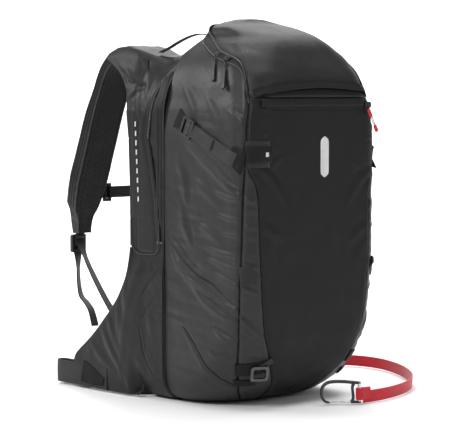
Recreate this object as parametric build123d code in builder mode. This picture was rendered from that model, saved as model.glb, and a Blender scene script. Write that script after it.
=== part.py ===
from build123d import *
import math
import os

os.makedirs("parts", exist_ok=True)

# Avalanche airbag backpack, standing on its base.
# +X to the wearer's right, -Y the outer front face, +Y towards the wearer, +Z up.
# Origin: middle of the flat base, on the floor.  All lengths in millimetres.

# ---------------------------------------------------------------- driving dimensions
HALF_W = 155.0          # half width of the pack body
Y_FRONT = -138.0        # outer front face
Y_SPLIT = 58.0          # back of the cargo bag, where it zips to the airbag base unit
Y_BASE0 = 60.0          # front of the base unit
Y_BASE1 = 118.0         # back of the base unit
Y_FOAM = 134.3          # wearer's side of the back foam
SKIN = 3.0              # fabric panel thickness with its padding
WEB_T = 2.0             # webbing thickness
STRAP_X0, STRAP_X1 = -135.0, -65.0   # left shoulder strap, outer and inner edge
HEM_Z = 500.0           # front hem, where the hood is hinged
WRAP = 45.0             # lower side radius of the body

# plan sections of the cargo bag: z, half width, front y, back y, front corner radius
SECTIONS = [
    (0.0, 112.0, -12.0, Y_SPLIT, 60.0),
    (5.0, 131.0, -44.0, Y_SPLIT, 92.0),
    (20.0, 147.0, -77.0, Y_SPLIT, 108.0),
    (45.0, 154.0, -107.0, Y_SPLIT, 100.0),
    (80.0, 155.0, -128.0, Y_SPLIT, 85.0),
    (120.0, 155.0, -137.0, Y_SPLIT, 65.0),
    (170.0, 155.0, -138.0, Y_SPLIT, 50.0),
    (250.0, 155.0, -138.0, Y_SPLIT, 38.0),
    (430.0, 155.0, -138.0, Y_SPLIT, 38.0),
    (478.0, 151.0, -138.0, Y_SPLIT, 41.0),
    (500.0, 145.0, -135.5, Y_SPLIT, 45.0),
    (525.0, 139.0, -131.0, Y_SPLIT, 48.0),
    (545.0, 131.0, -125.0, Y_SPLIT, 50.0),
    (565.0, 118.5, -114.0, Y_SPLIT, 52.0),
    (585.0, 99.0, -101.0, 46.0, 50.0),
    (600.0, 82.0, -82.0, 36.0, 46.0),
    (614.0, 74.0, -38.0, 33.0, 34.0),
    (623.5, 50.0, -4.0, 29.0, 15.0),
    (629.0, 22.0, 4.0, 24.0, 9.0),
]


def plan_face(z, hx, yf, yb, r):
    """One plan section: square back corners, rounded front corners."""
    k = r * (1 - math.sqrt(0.5))
    with BuildSketch(Plane.XY.offset(z)) as sk:
        with BuildLine():
            Line((-hx + r, yf), (hx - r, yf))
            ThreePointArc((hx - r, yf), (hx - k, yf + k), (hx, yf + r))
            Line((hx, yf + r), (hx, yb))
            Line((hx, yb), (-hx, yb))
            Line((-hx, yb), (-hx, yf + r))
            ThreePointArc((-hx, yf + r), (-hx + k, yf + k), (-hx + r, yf))
        make_face()
    return sk.sketch


def bag_solid(inset):
    """The cargo bag's closed outer form, or its inside when inset > 0."""
    top = SECTIONS[-1][0]
    with BuildPart() as bag:
        for z, hx, yf, yb, r in SECTIONS:
            if inset == 0:
                add(plan_face(z, hx, yf, yb, r))
            else:
                zi = z + inset if z < 260 else (z if z < 440 else z - inset)
                back = yb + 14 if yb == Y_SPLIT else yb - inset
                add(plan_face(zi, hx - inset, yf + inset, back, max(r - inset, 5)))
        loft(ruled=True)
    return bag.part


def yz_prism(points, x0, x1):
    """A side-view outline carried across from x0 to x1."""
    with BuildPart() as p:
        with BuildSketch(Plane.YZ.offset(x0)):
            with BuildLine():
                Polyline(*points, close=True)
            make_face()
        extrude(amount=x1 - x0)
    return p.part


def box_at(x0, x1, y0, y1, z0, z1):
    with BuildPart() as p:
        with BuildSketch(Plane.XY.offset(z0)):
            with Locations(((x0 + x1) / 2, (y0 + y1) / 2)):
                Rectangle(x1 - x0, y1 - y0)
        extrude(amount=z1 - z0)
    return p.part


def ribbon(stations, width, thick):
    """Webbing: flat section carried through stations of (point, width direction, face normal)."""
    with BuildPart() as p:
        for (pt, wd, nd) in stations:
            w = Vector(*wd).normalized()
            n = Vector(*nd)
            n = (n - w * n.dot(w)).normalized()
            pl = Plane(origin=pt, x_dir=w, z_dir=w.cross(n))
            with BuildSketch(pl):
                Rectangle(width, thick)
        loft(ruled=True)
    return p.part


def finish_part(bp, name):
    bp.part.label = name
    export_step(bp.part, "parts/" + name + ".step")


def both_sides(left):
    """A left piece and its mirror image on the right."""
    return [left, left.mirror(Plane.YZ)]


# ================================================================ cargo bag
outer = bag_solid(0)
inner = bag_solid(SKIN)
shell = outer - inner

# side view of the line where the hood zips shut: from the front hem up to the back of the crown
ZIP_LINE = [(-128.0, 500.0), (-117.5, 501.5), (-115.0, 511.0), (-111.5, 526.0), (-99.0, 547.0), (-88.0, 555.5), (-73.0, 562.3), (-52.0, 567.8),
            (-33.0, 572.8), (19.0, 598.5), (31.0, 607.5), (33.0, 650.0)]
ZIP_LOW = [(-128.0, 491.0), (-110.5, 493.0), (-106.0, 509.0), (-103.0, 523.0), (-92.0, 540.6), (-84.0, 547.0), (-70.0, 553.5), (-49.6, 559.0),
           (-29.5, 564.3), (23.7, 590.0), (38.0, 600.5), (41.0, 650.0)]

hood_zone = yz_prism([(-160.0, 500.5), (-128.2, 500.5)] + [(y - 0.3, z + 0.35) for y, z in ZIP_LINE[1:]] + [(-160.0, 650.0)], -170, 170)
zip_zone = yz_prism(ZIP_LINE + list(reversed(ZIP_LOW)), -170, 170)
above_zone = yz_prism([(-160.0, 500.0)] + ZIP_LINE + [(-160.0, 650.0)], -170, 170)
low_shell = shell - above_zone - zip_zone

CX, CY = 118.0, -101.0   # where the corner strips meet the side and front panels
BOT_Z, TOP_Z = 60.0, 555.0

with BuildPart() as side_panel_left:
    add(low_shell)
    add(box_at(-170, -CX, CY, 80, -5, 650), mode=Mode.INTERSECT)
finish_part(side_panel_left, "side_panel_left")

with BuildPart() as side_panel_right:
    add(low_shell)
    add(box_at(CX, 170, CY, 80, -5, 650), mode=Mode.INTERSECT)
finish_part(side_panel_right, "side_panel_right")

with BuildPart() as corner_strips:
    add(low_shell)
    add(box_at(-170, -CX, -150, CY, -5, 650) + box_at(CX, 170, -150, CY, -5, 650), mode=Mode.INTERSECT)
finish_part(corner_strips, "corner_strips")

with BuildPart() as front_panel:
    add(low_shell)
    add(box_at(-CX, CX, -150, CY, -5, 650), mode=Mode.INTERSECT)
finish_part(front_panel, "front_panel")

with BuildPart() as bottom_panel:
    add(low_shell)
    add(box_at(-CX, CX, CY, 80, -5, 300), mode=Mode.INTERSECT)
finish_part(bottom_panel, "bottom_panel")

with BuildPart() as top_panel:
    add(low_shell)
    add(box_at(-CX, CX, CY, 80, 300, 650), mode=Mode.INTERSECT)
finish_part(top_panel, "top_panel")

with BuildPart() as top_lid:
    add(shell)
    add(hood_zone, mode=Mode.INTERSECT)
finish_part(top_lid, "top_lid")

with BuildPart() as lid_zip:
    add(shell)
    add(zip_zone, mode=Mode.INTERSECT)
    add(box_at(-170, 170, -CX, 80, 480, 650), mode=Mode.INTERSECT)
finish_part(lid_zip, "lid_zip")

with BuildPart() as divider_panel:
    add(inner)
    add(box_at(-170, 170, 55.0, 58.0, -5, 574), mode=Mode.INTERSECT)
finish_part(divider_panel, "divider_panel")

with BuildPart() as pocket_liner:
    with BuildSketch(Plane.XZ.offset(122.5)):
        with Locations((0, 330)):
            RectangleRounded(266, 310, 20)
    extrude(amount=1.5)
finish_part(pocket_liner, "pocket_liner")

# ================================================================ front pocket closure
with BuildPart() as pocket_zip:
    add(box_at(-116, 126, -139.0, -137.4 - 0.9, 484, 490.5))
finish_part(pocket_zip, "pocket_zip")

with BuildPart() as storm_flap:
    add(box_at(-120, 112, -145.2, -143.8, 484.0, 499.0))
    add(box_at(-120, 112, -144.5, -136.0, 497.2, 499.0))
finish_part(storm_flap, "storm_flap")

SL_X = 118.0     # pocket slider, parked at the right end
with BuildPart() as pocket_slider:
    add(box_at(SL_X - 7, SL_X + 7, -142.6, -139.3, 483.5, 491.5))
    add(box_at(SL_X - 2.2, SL_X + 2.2, -143.2, -142.5, 484.5, 489.5))
finish_part(pocket_slider, "pocket_slider")

with BuildPart() as pocket_pull:
    ang = math.radians(30)
    pull_plane = Plane(origin=(SL_X, -141.2, 482.8), x_dir=(math.cos(ang), 0, math.sin(ang)), z_dir=(0, -1, 0))
    with BuildSketch(pull_plane):
        with Locations((0, -22)):
            RectangleRounded(8, 42, 3.5)
        with Locations((0, -4.2)):
            Circle(1.6, mode=Mode.SUBTRACT)
    extrude(amount=1.3, both=True)
finish_part(pocket_pull, "pocket_pull")

# ================================================================ hood zip sliders and pulls
def slider_plane(y, z, lift):
    """Frame on the hood zip: x along the zip, z out of the fabric."""
    hx = None
    for a, b in zip(SECTIONS[:-1], SECTIONS[1:]):
        if a[0] <= z <= b[0]:
            f = (z - a[0]) / (b[0] - a[0])
            hx = a[1] + f * (b[1] - a[1])
    n = Vector(-0.838, 0, 0.545).normalized()
    t = Vector(0.17, 0.94, 0.26)
    t = (t - n * t.dot(n)).normalized()
    o = Vector(-hx, y, z) + n * lift
    return Plane(origin=o, x_dir=t, z_dir=n)


SLIDERS = {"upper": (-32.0, 568.3, 33.0, 0.545, 0.838), "lower": (-60.0, 561.0, 44.0, 0.545, 0.838)}
pull_info = {}
for key, (sy, sz, plen, dx, dz) in SLIDERS.items():
    base = slider_plane(sy, sz, 1.4)
    with BuildPart() as slider:
        with BuildSketch(base):
            RectangleRounded(13, 8, 2.5)
        extrude(amount=3.2)
        with BuildSketch(base.offset(3.2)):
            Rectangle(5, 3.2)
        extrude(amount=1.2)
    finish_part(slider, "lid_slider_" + key)
    # the pull hangs down the outside of the fabric from the slider's lower edge
    n = Vector(-dz, 0, dx).normalized()
    down = Vector(-dx, 0, -dz).normalized()
    top = base.origin + base.z_dir * 2.0 + down * 7.4 + n * 1.2
    pl = Plane(origin=top, x_dir=(0, 1, 0), z_dir=n)
    dirn = -1.0 if pl.y_dir.dot(down) < 0 else 1.0
    with BuildPart() as pull:
        with BuildSketch(pl):
            with Locations((0, dirn * plen / 2)):
                RectangleRounded(5, plen, 2.2)
        extrude(amount=1.2, both=True)
    finish_part(pull, "lid_pull_" + key)
    pull_info[key] = (top.X, top.Y, top.Z)

# ================================================================ airbag base unit
def base_outline(grow, plane):
    """Front-view outline of the base unit."""
    w, t = HALF_W + grow, grow
    k = WRAP * (1 - math.sqrt(0.5))
    with BuildSketch(plane) as sk:
        with BuildLine():
            Line((-110, -t), (110, -t))
            ThreePointArc((110, -t), (155 - k + 0.7071 * t, k - 0.7071 * t), (w, 45))
            Line((w, 45), (w, 470))
            rt = 106.8 + t
            mx, mz = 48.2 + rt * 0.8480, 470 + rt * 0.5299
            ex, ez = 48.2 + rt * 0.4384, 470 + rt * 0.8988
            ThreePointArc((w, 470), (mx, mz), (ex, ez))
            ThreePointArc((ex, ez), (0, 574 + t), (-ex, ez))
            ThreePointArc((-ex, ez), (-mx, mz), (-w, 470))
            Line((-w, 470), (-w, 45))
            ThreePointArc((-w, 45), (-155 + k - 0.7071 * t, k - 0.7071 * t), (-110, -t))
        make_face()
    return sk.sketch


def xz_plane(y):
    """Front-view sketch plane at depth y; sketch x is +X, sketch y is +Z, extrusion runs towards -Y."""
    return Plane(origin=(0, y, 0), x_dir=(1, 0, 0), z_dir=(0, -1, 0))


with BuildPart() as base_shell:
    extrude(base_outline(0, xz_plane(Y_BASE1)), amount=Y_BASE1 - Y_BASE0, dir=(0, -1, 0))
    with BuildPart(mode=Mode.PRIVATE) as cavity:
        extrude(base_outline(-2.5, xz_plane(Y_BASE1 - 2.5)), amount=Y_BASE1 - Y_BASE0, dir=(0, -1, 0))
    add(cavity.part, mode=Mode.SUBTRACT)
    add(box_at(145, 165, 76, 102, 172, 230), mode=Mode.SUBTRACT)   # air intake window
finish_part(base_shell, "base_shell")

with BuildPart() as booster_zip:
    extrude(base_outline(2.5, xz_plane(59.7)), amount=1.4, dir=(0, -1, 0))
    with BuildPart(mode=Mode.PRIVATE) as hole:
        extrude(base_outline(-5, xz_plane(60.5)), amount=4, dir=(0, -1, 0))
    add(hole.part, mode=Mode.SUBTRACT)
    add(box_at(-170, 170, 50, 70, 0.4, 600), mode=Mode.INTERSECT)
finish_part(booster_zip, "booster_zip")

with BuildPart() as frame_sheet:
    with BuildSketch(xz_plane(115.2)):
        with Locations((0, 278)):
            RectangleRounded(248, 496, 30)
    extrude(amount=2.6)
finish_part(frame_sheet, "frame_sheet")

with BuildPart() as frame_stays:
    with BuildSketch(xz_plane(112.3)):
        with Locations((-70, 278), (70, 278)):
            RectangleRounded(20, 470, 6)
    extrude(amount=3.2)
finish_part(frame_stays, "frame_stays")

with BuildPart() as back_foam:
    with BuildSketch(xz_plane(Y_FOAM)):
        with Locations((0, 303)):
            RectangleRounded(252, 474, 34)
    extrude(amount=Y_FOAM - Y_BASE1 - 0.3)
    with BuildSketch(xz_plane(Y_FOAM + 1)):      # ventilation channels
        with Locations((0, 330)):
            Rectangle(26, 300)
        with Locations((-68, 270), (-68, 350), (-68, 430), (68, 270), (68, 350), (68, 430)):
            Rectangle(90, 10)
    extrude(amount=8, mode=Mode.SUBTRACT)
finish_part(back_foam, "back_foam")

with BuildPart() as lumbar_pad:
    with BuildSketch(xz_plane(149.5)):
        with Locations((0, 128)):
            RectangleRounded(170, 118, 26)
    extrude(amount=14.9)
finish_part(lumbar_pad, "lumbar_pad")

# ---------------------------------------------------------------- airbag stowage
sleeve_left = box_at(-159.3, -155.3, 99, 137, 262, 478) + box_at(-155.3, -130, 118.6, 137, 262, 478)
sleeve_left += yz_prism([(99, 262), (137, 262), (137, 258), (130, 250), (106, 250), (99, 258)], -159.3, -155.3)
with BuildPart() as airbag_sleeves:
    add(both_sides(sleeve_left))
finish_part(airbag_sleeves, "airbag_sleeves")

zip_pts = [(86, 478), (95, 435), (88, 412), (73, 338), (65, 267)]
zip_back = [(y - 3.5, z) for y, z in reversed(zip_pts)]
burst_left = yz_prism(zip_pts + zip_back, -156.8, -155.3)
with BuildPart() as burst_zips:
    add(both_sides(burst_left))
finish_part(burst_zips, "burst_zips")

collar_left = yz_prism([(118.6, 478.4), (147, 478.4), (154, 512), (185, 546), (222, 566), (198, 577), (160, 577), (118.6, 560)], -152, -136)
with BuildPart() as collar:
    add(both_sides(collar_left))
finish_part(collar, "collar")

with BuildPart() as folded_airbag:
    add(box_at(-150, -126, 64, 108, 255, 480))
    add(box_at(126, 150, 64, 108, 255, 480))
    add(box_at(-133, 133, 64, 108, 480, 522))
finish_part(folded_airbag, "folded_airbag")

# ---------------------------------------------------------------- blower
BZ = 370.0
with BuildPart() as blower_housing:
    with BuildSketch(xz_plane(106)):
        with Locations((0, BZ)):
            Circle(52)
        with Locations((36, BZ + 31)):
            Rectangle(32, 62)
    extrude(amount=40)
    with BuildSketch(xz_plane(103.5)):
        with Locations((0, BZ)):
            Circle(49.5)
        with Locations((36, BZ + 32)):
            Rectangle(27, 64)
    extrude(amount=35, mode=Mode.SUBTRACT)
    with BuildSketch(xz_plane(70)):
        with Locations((0, BZ)):
            Circle(22)
    extrude(amount=6, mode=Mode.SUBTRACT)
finish_part(blower_housing, "blower_housing")

with BuildPart() as motor:
    with BuildSketch(xz_plane(103.5)):
        with Locations((0, BZ)):
            Circle(17)
            Circle(2.55, mode=Mode.SUBTRACT)
    extrude(amount=15)
finish_part(motor, "motor")

with BuildPart() as impeller:
    with BuildSketch(xz_plane(86.5)):
        with Locations((0, BZ)):
            Circle(44)
    extrude(amount=2)
    with BuildSketch(xz_plane(86.5)):
        with Locations((0, BZ)):
            Circle(9)
    extrude(amount=14)
    with BuildSketch(xz_plane(85)):
        with Locations((0, BZ)):
            with PolarLocations(0, 9):
                with Locations((30, 0)):
                    Rectangle(26, 1.6)
    extrude(amount=12)
    with BuildSketch(xz_plane(101)):
        with Locations((0, BZ)):
            Circle(2.5)
    extrude(amount=15)
finish_part(impeller, "impeller")

with BuildPart() as outlet_duct:
    add(box_at(20, 52, 66, 106, BZ + 62.3, 479.7))
    add(box_at(22, 50, 68, 104, BZ + 60, 490), mode=Mode.SUBTRACT)
finish_part(outlet_duct, "outlet_duct")

with BuildPart() as check_valve_flap:
    add(box_at(23.0, 48.7, 69.5, 102.5, 450.0, 451.2))
finish_part(check_valve_flap, "check_valve_flap")

with BuildPart() as intake_grille:
    add(box_at(155.3, 157.8, 70, 108, 166, 236))
    with BuildSketch(Plane.YZ.offset(150)):
        with GridLocations(0, 8, 1, 7):
            with Locations((89, 201)):
                SlotOverall(28, 4)
    extrude(amount=12, mode=Mode.SUBTRACT)
finish_part(intake_grille, "intake_grille")

with BuildPart() as battery_pack:
    add(box_at(-70, 70, 68, 106, 90, 170))
    fillet(battery_pack.edges().filter_by(Axis.Y), radius=7)
finish_part(battery_pack, "battery_pack")

with BuildPart() as controller_box:
    add(box_at(-50, 50, 70, 104, 200, 262))
    fillet(controller_box.edges().filter_by(Axis.Y), radius=5)
    with BuildSketch(xz_plane(79)):
        with Locations((30, 235)):
            Circle(7.3)
    extrude(amount=12, mode=Mode.SUBTRACT)
finish_part(controller_box, "controller_box")

with BuildPart() as power_button:
    with BuildSketch(xz_plane(76.5)):
        with Locations((30, 235)):
            Circle(7.0)
    extrude(amount=9)
finish_part(power_button, "power_button")

# ================================================================ shoulder straps
PAD_OUT = [(119.0, 548.0), (119.0, 566.0), (145.0, 578.0), (175.0, 584.0), (205.0, 581.0), (230.0, 569.0), (250.0, 549.0),
           (268.0, 515.0), (293.0, 469.0), (316.0, 408.0), (337.0, 345.0), (349.0, 305.0), (352.0, 262.0)]
PAD_IN = [(332.0, 262.0), (321.0, 290.0), (311.0, 321.0), (291.0, 391.0), (268.0, 460.0), (250.0, 505.0), (232.0, 540.0),
          (212.0, 560.0), (185.0, 567.0), (150.0, 562.0), (135.0, 552.0)]
with BuildPart() as shoulder_pad_left:
    with BuildSketch(Plane.YZ.offset(STRAP_X0)):
        with BuildLine():
            Polyline(*(PAD_OUT + PAD_IN), close=True)
        make_face()
    extrude(amount=STRAP_X1 - STRAP_X0)
    # the lower end narrows to the adjuster
    with BuildPart(mode=Mode.PRIVATE) as taper:
        with BuildSketch(xz_plane(400)):
            with BuildLine():
                Polyline((-136, 600), (-64, 600), (-64, 352), (-84, 285), (-86, 250), (-114, 250), (-116, 285), (-136, 352), close=True)
            make_face()
        extrude(amount=300)
    add(taper.part, mode=Mode.INTERSECT)
    # recess for the release grip, open on the outer face, with the grip's guide bore
    add(box_at(-113, -87, 333.0, 370, 296, 344), mode=Mode.SUBTRACT)
    with BuildSketch(xz_plane(340)):
        with Locations((-100, 320)):
            Circle(3.06)
    extrude(amount=22, mode=Mode.SUBTRACT)
finish_part(shoulder_pad_left, "shoulder_pad_left")

with BuildPart() as shoulder_pad_right:
    with BuildSketch(Plane.YZ.offset(-STRAP_X1)):
        with BuildLine():
            Polyline(*(PAD_OUT + PAD_IN), close=True)
        make_face()
    extrude(amount=STRAP_X1 - STRAP_X0)
    add(taper.part.mirror(Plane.YZ), mode=Mode.INTERSECT)
finish_part(shoulder_pad_right, "shoulder_pad_right")

with BuildPart() as trigger_handle:
    add(box_at(-112.0, -88.0, 335.0, 344.0, 298, 342))
    fillet(trigger_handle.edges().filter_by(Axis.Y), radius=4)
    with BuildSketch(xz_plane(336)):
        with Locations((-100, 320)):
            Circle(3.0)
    extrude(amount=16)
finish_part(trigger_handle, "trigger_handle")


def ladder_lock(cx, x_side):
    """Adjuster buckle under a shoulder strap: a plate with two slots."""
    with BuildPart() as lock:
        with BuildSketch(xz_plane(356)):
            with Locations((cx, 241)):
                RectangleRounded(31, 32, 4)
            with Locations((cx, 249.5), (cx, 233.5)):
                Rectangle(22, 5, mode=Mode.SUBTRACT)
        extrude(amount=6)
    return lock


ladder_lock_left = ladder_lock(-100, -1)
finish_part(ladder_lock_left, "ladder_lock_left")
ladder_lock_right = ladder_lock(100, 1)
finish_part(ladder_lock_right, "ladder_lock_right")

load_side = ribbon([
    ((-100, 347.5, 238), (1, 0, 0), (0, 1, 0.6)),
    ((-101, 318, 197), (1, 0, 0), (0, 1, -0.8)),
    ((-103, 262, 133), (1, 0, 0), (0, 1, -0.85)),
    ((-103, 200, 82), (1, 0, 0), (0, 1, -1.3)),
    ((-100, 120, 44), (1, 0, 0), (0, 1, -2.0)),
], 20, WEB_T)
tail_side = ribbon([
    ((-100, 352, 222), (1, 0, 0), (0, 1, 0)),
    ((-100, 353, 196), (1, 0, 0), (0, 1, 0)),
    ((-100, 351, 166), (1, 0, 0), (0, 1, -0.15)),
    ((-101, 340, 141), (1, 0, 0), (0, 1, -1.1)),
    ((-102, 322, 130), (1, 0, 0), (0, 1, -1.3)),
    ((-102, 308, 112), (1, 0, 0), (0, 1, -0.6)),
    ((-102, 303, 96), (1, 0, 0), (0, 1, -0.3)),
], 20, WEB_T)
with BuildPart() as shoulder_webbings:
    add(both_sides(load_side) + both_sides(tail_side))
finish_part(shoulder_webbings, "shoulder_webbings")

lifter = ribbon([
    ((-73, 38.2, 600.5), (1, 0.35, 0), (0, 0, 1)),
    ((-83, 57, 602), (1, 0.35, 0), (0, 0.1, 1)),
    ((-95, 88, 590), (1, 0.35, 0), (0, 0.4, 1)),
    ((-106, 117, 574), (1, 0.35, 0), (0, 0.3, 1)),
], 15, WEB_T)
with BuildPart() as load_lifters:
    add(both_sides(lifter))
finish_part(load_lifters, "load_lifters")

# ---------------------------------------------------------------- sternum strap
ST_Y, ST_Z = 324.0, 331.0
with BuildPart() as sternum_strap_left:
    add(box_at(-64.4, -50, ST_Y - 3.5, ST_Y + 3.5, ST_Z - 16, ST_Z + 16))
    add(box_at(-61, -53, ST_Y - 4, ST_Y + 4, ST_Z - 10.5, ST_Z + 10.5), mode=Mode.SUBTRACT)
    add(box_at(-53, 8, ST_Y - 1, ST_Y + 1, ST_Z - 10, ST_Z + 10))
    add(box_at(8, 34, ST_Y - 5, ST_Y + 5, ST_Z - 13, ST_Z + 13))
    add(box_at(15, 35, ST_Y - 3, ST_Y + 3, ST_Z - 10, ST_Z + 10), mode=Mode.SUBTRACT)
finish_part(sternum_strap_left, "sternum_strap_left")

with BuildPart() as sternum_strap_right:
    add(box_at(50, 64.4, ST_Y - 3.5, ST_Y + 3.5, ST_Z - 16, ST_Z + 16))
    add(box_at(53, 61, ST_Y - 4, ST_Y + 4, ST_Z - 10.5, ST_Z + 10.5), mode=Mode.SUBTRACT)
    add(box_at(46, 53, ST_Y - 1, ST_Y + 1, ST_Z - 10, ST_Z + 10))
    add(box_at(34.4, 46, ST_Y - 4, ST_Y + 4, ST_Z - 12, ST_Z + 12))
    add(box_at(16, 34.4, ST_Y - 2.6, ST_Y + 2.6, ST_Z - 9.5, ST_Z - 5.5))
    add(box_at(16, 34.4, ST_Y - 2.6, ST_Y + 2.6, ST_Z + 5.5, ST_Z + 9.5))
    add(box_at(16, 34.4, ST_Y - 2.0, ST_Y + 2.0, ST_Z - 2, ST_Z + 2))
finish_part(sternum_strap_right, "sternum_strap_right")

# ================================================================ hip belt
WING = [(122.0, 248.0), (134.0, 246.0), (147.0, 203.0), (173.0, 159.0), (208.0, 122.0), (243.0, 88.0), (270.0, 68.0),
        (286.0, 54.0), (290.0, 30.0), (282.0, 10.0), (260.0, 2.5), (122.0, 2.5)]
hip_left = yz_prism(WING, -160.0, -147.0)
with BuildPart() as hip_wing_left:
    add(hip_left)
finish_part(hip_wing_left, "hip_wing_left")
with BuildPart() as hip_wing_right:
    add(hip_left.mirror(Plane.YZ))
finish_part(hip_wing_right, "hip_wing_right")

# 40 mm webbing sewn on the outside of the wing, round its end and back inside
hip_web = box_at(-162.6, -160.4, 196, 338, 3, 43) + box_at(-162.6, -142.2, 336, 338.2, 3, 43) + box_at(-144.4, -142.2, 268, 338, 3, 43)
with BuildPart() as hip_webbing_left:
    add(hip_web)
finish_part(hip_webbing_left, "hip_webbing_left")
with BuildPart() as hip_webbing_right:
    add(hip_web.mirror(Plane.YZ))
finish_part(hip_webbing_right, "hip_webbing_right")

# hook buckle in the right belt's loop: a round bar inside the loop and a hook plate outside it
with BuildPart() as hip_buckle:
    with BuildSketch(Plane.XY.offset(1.0)):
        with Locations((152.0, 330)):
            Circle(3.2)
    extrude(amount=46)
    add(box_at(146.5, 157.5, 326.5, 346, 44.5, 50))
    add(box_at(147, 157, 341.5, 346, 3.0, 50))
    add(box_at(148.5, 155.5, 341.5, 368, 8, 38))
    add(box_at(141, 155.5, 363, 368, 8, 38))
finish_part(hip_buckle, "hip_buckle")

# ================================================================ side compression straps
def comp_plane(x):
    """Side-view frame on the left face: sketch x runs along the strap, forward and down."""
    return Plane(origin=(x, -5, 452), x_dir=(0, -0.904, -0.427), z_dir=(-1, 0, 0))


with BuildPart() as comp_web:
    with BuildSketch(comp_plane(-155.8)):
        with Locations((55, 0)):
            Rectangle(124, 24)
    extrude(amount=WEB_T)
with BuildPart() as comp_patch:
    with BuildSketch(comp_plane(-155.4)):
        with BuildLine():
            Polyline((-14, -10), (-14, 10), (-32, 16), (-32, -16), close=True)
        make_face()
    extrude(amount=2.4)
with BuildPart() as compression_straps:
    add(both_sides(comp_web.part) + both_sides(comp_patch.part))
finish_part(compression_straps, "compression_straps")

with BuildPart() as compression_buckle_left:
    with BuildSketch(comp_plane(-158.3)):
        with Locations((0, 0)):
            RectangleRounded(27, 31, 3)
        with Locations((-6.5, 0), (6.5, 0)):
            Rectangle(5, 24.5, mode=Mode.SUBTRACT)
    extrude(amount=4.5)
finish_part(compression_buckle_left, "compression_buckle_left")
with BuildPart() as compression_buckle_right:
    add(compression_buckle_left.part.mirror(Plane.YZ))
finish_part(compression_buckle_right, "compression_buckle_right")

# ================================================================ small sewn trim and tool hook
with BuildPart() as fabric_tabs:
    tab_plane = Plane(origin=(-136, -132.9, 411), x_dir=(0.866, -0.5, 0), z_dir=(-0.5, -0.866, 0))
    with BuildSketch(tab_plane.offset(3.2)):
        RectangleRounded(30, 26, 2)
    extrude(amount=1.6)
    with BuildSketch(Plane(origin=(-144, -131, 217), x_dir=(0.70, -0.71, 0), z_dir=(-0.71, -0.70, 0)).offset(1.6)):
        with BuildLine():
            Polyline((-8, 14), (8, 6), (8, -6), (-8, -14), close=True)
        make_face()
    extrude(amount=2.2)
finish_part(fabric_tabs, "fabric_tabs")

# frame hook low on the front corner, hanging from a sewn patch
HOOK_N = (-0.43, -0.83, -0.33)
with BuildPart() as tool_hook:
    hook_plane = Plane(origin=(-108.3, -117.5, 61.2), x_dir=(0.888, -0.46, 0), z_dir=HOOK_N)
    with BuildSketch(hook_plane):
        RectangleRounded(30, 26, 5)
        RectangleRounded(21, 17, 4, mode=Mode.SUBTRACT)
    extrude(amount=3.4)
finish_part(tool_hook, "tool_hook")

# ================================================================ leg strap
LEG_Z0, LEG_W, LEG_T = 1.2, 20.0, 2.4
LEG = [(172.0, 122.0), (207.0, 149.0), (252.0, 166.0), (300.0, 165.0), (341.0, 143.0), (363.0, 102.0), (365.0, 54.0), (350.0, 10.0),
       (329.0, -32.0), (301.0, -72.0), (267.0, -111.0), (227.0, -145.0), (181.0, -168.0), (137.0, -180.0), (100.0, -184.0), (66.0, -182.5)]


def fillet_radii(pts):
    out = []
    for a, b, c in zip(pts[:-2], pts[1:-1], pts[2:]):
        l1, l2 = math.dist(a, b), math.dist(b, c)
        u = ((b[0] - a[0]) / l1, (b[1] - a[1]) / l1)
        v = ((c[0] - b[0]) / l2, (c[1] - b[1]) / l2)
        turn = math.acos(max(-1, min(1, u[0] * v[0] + u[1] * v[1])))
        out.append(0.45 * min(l1, l2) / math.tan(turn / 2))
    return out


leg_radii = fillet_radii(LEG)
print("leg strap radii", [round(r) for r in leg_radii])
with BuildPart() as leg_strap:
    with BuildLine() as leg_path:
        FilletPolyline(*[(x, y, LEG_Z0 + LEG_W / 2) for x, y in LEG], radius=leg_radii)
    start = leg_path.line @ 0
    tangent = leg_path.line % 0
    with BuildSketch(Plane(origin=start, x_dir=(0, 0, 1), z_dir=tangent)):
        Rectangle(LEG_W, LEG_T)
    sweep()
leg_len = sum(e.length for e in leg_path.edges())
print("leg strap length", round(leg_len), "section x length", round(leg_len * LEG_W * LEG_T), "volume", round(leg_strap.part.volume))
finish_part(leg_strap, "leg_strap")

# frame of the carabiner: p runs from the webbing to the nose, q is across it
CP0 = (57.0, -182.0)
PD = (-0.80, 0.60)


def cara_plane(half):
    """Vertical sketch plane through the carabiner: sketch x along p, sketch y is +Z."""
    nx, ny = -PD[1], PD[0]
    z_dir = Vector(PD[0], PD[1], 0).cross(Vector(0, 0, 1))
    o = Vector(CP0[0], CP0[1], 0) - z_dir * half
    return Plane(origin=o, x_dir=(PD[0], PD[1], 0), z_dir=z_dir)


with BuildPart() as carabiner_body:
    with BuildSketch(cara_plane(4.0)):
        with BuildLine():
            Polyline((2.0, 33.5), (2.0, 38.5), (50.0, 41.0), (64.0, 30.0), (66.0, 12.0), (58.0, 1.5), (49.0, 1.5), (49.0, 7.0), (55.0, 8.5),
                     (59.0, 14.0), (57.0, 27.0), (47.0, 34.0), (9.0, 33.0), (6.0, 33.0), close=True)
        make_face()
    extrude(amount=8)
    with BuildSketch(cara_plane(4.0)):
        with BuildLine():
            Polyline((-3.0, 1.5), (14.0, 1.5), (14.0, 6.8), (-3.0, 6.8), close=True)
        make_face()
    extrude(amount=8)
    with BuildSketch(Plane.XY.offset(5.0)):
        with Locations(CP0):
            Circle(3.5)
    extrude(amount=31.0)
    with BuildSketch(cara_plane(4.0)):
        with BuildLine():
            Polyline((-3.0, 33.5), (3.0, 33.5), (3.0, 38.5), (-3.0, 37.5), close=True)
        make_face()
    extrude(amount=8)
finish_part(carabiner_body, "carabiner_body")

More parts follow.
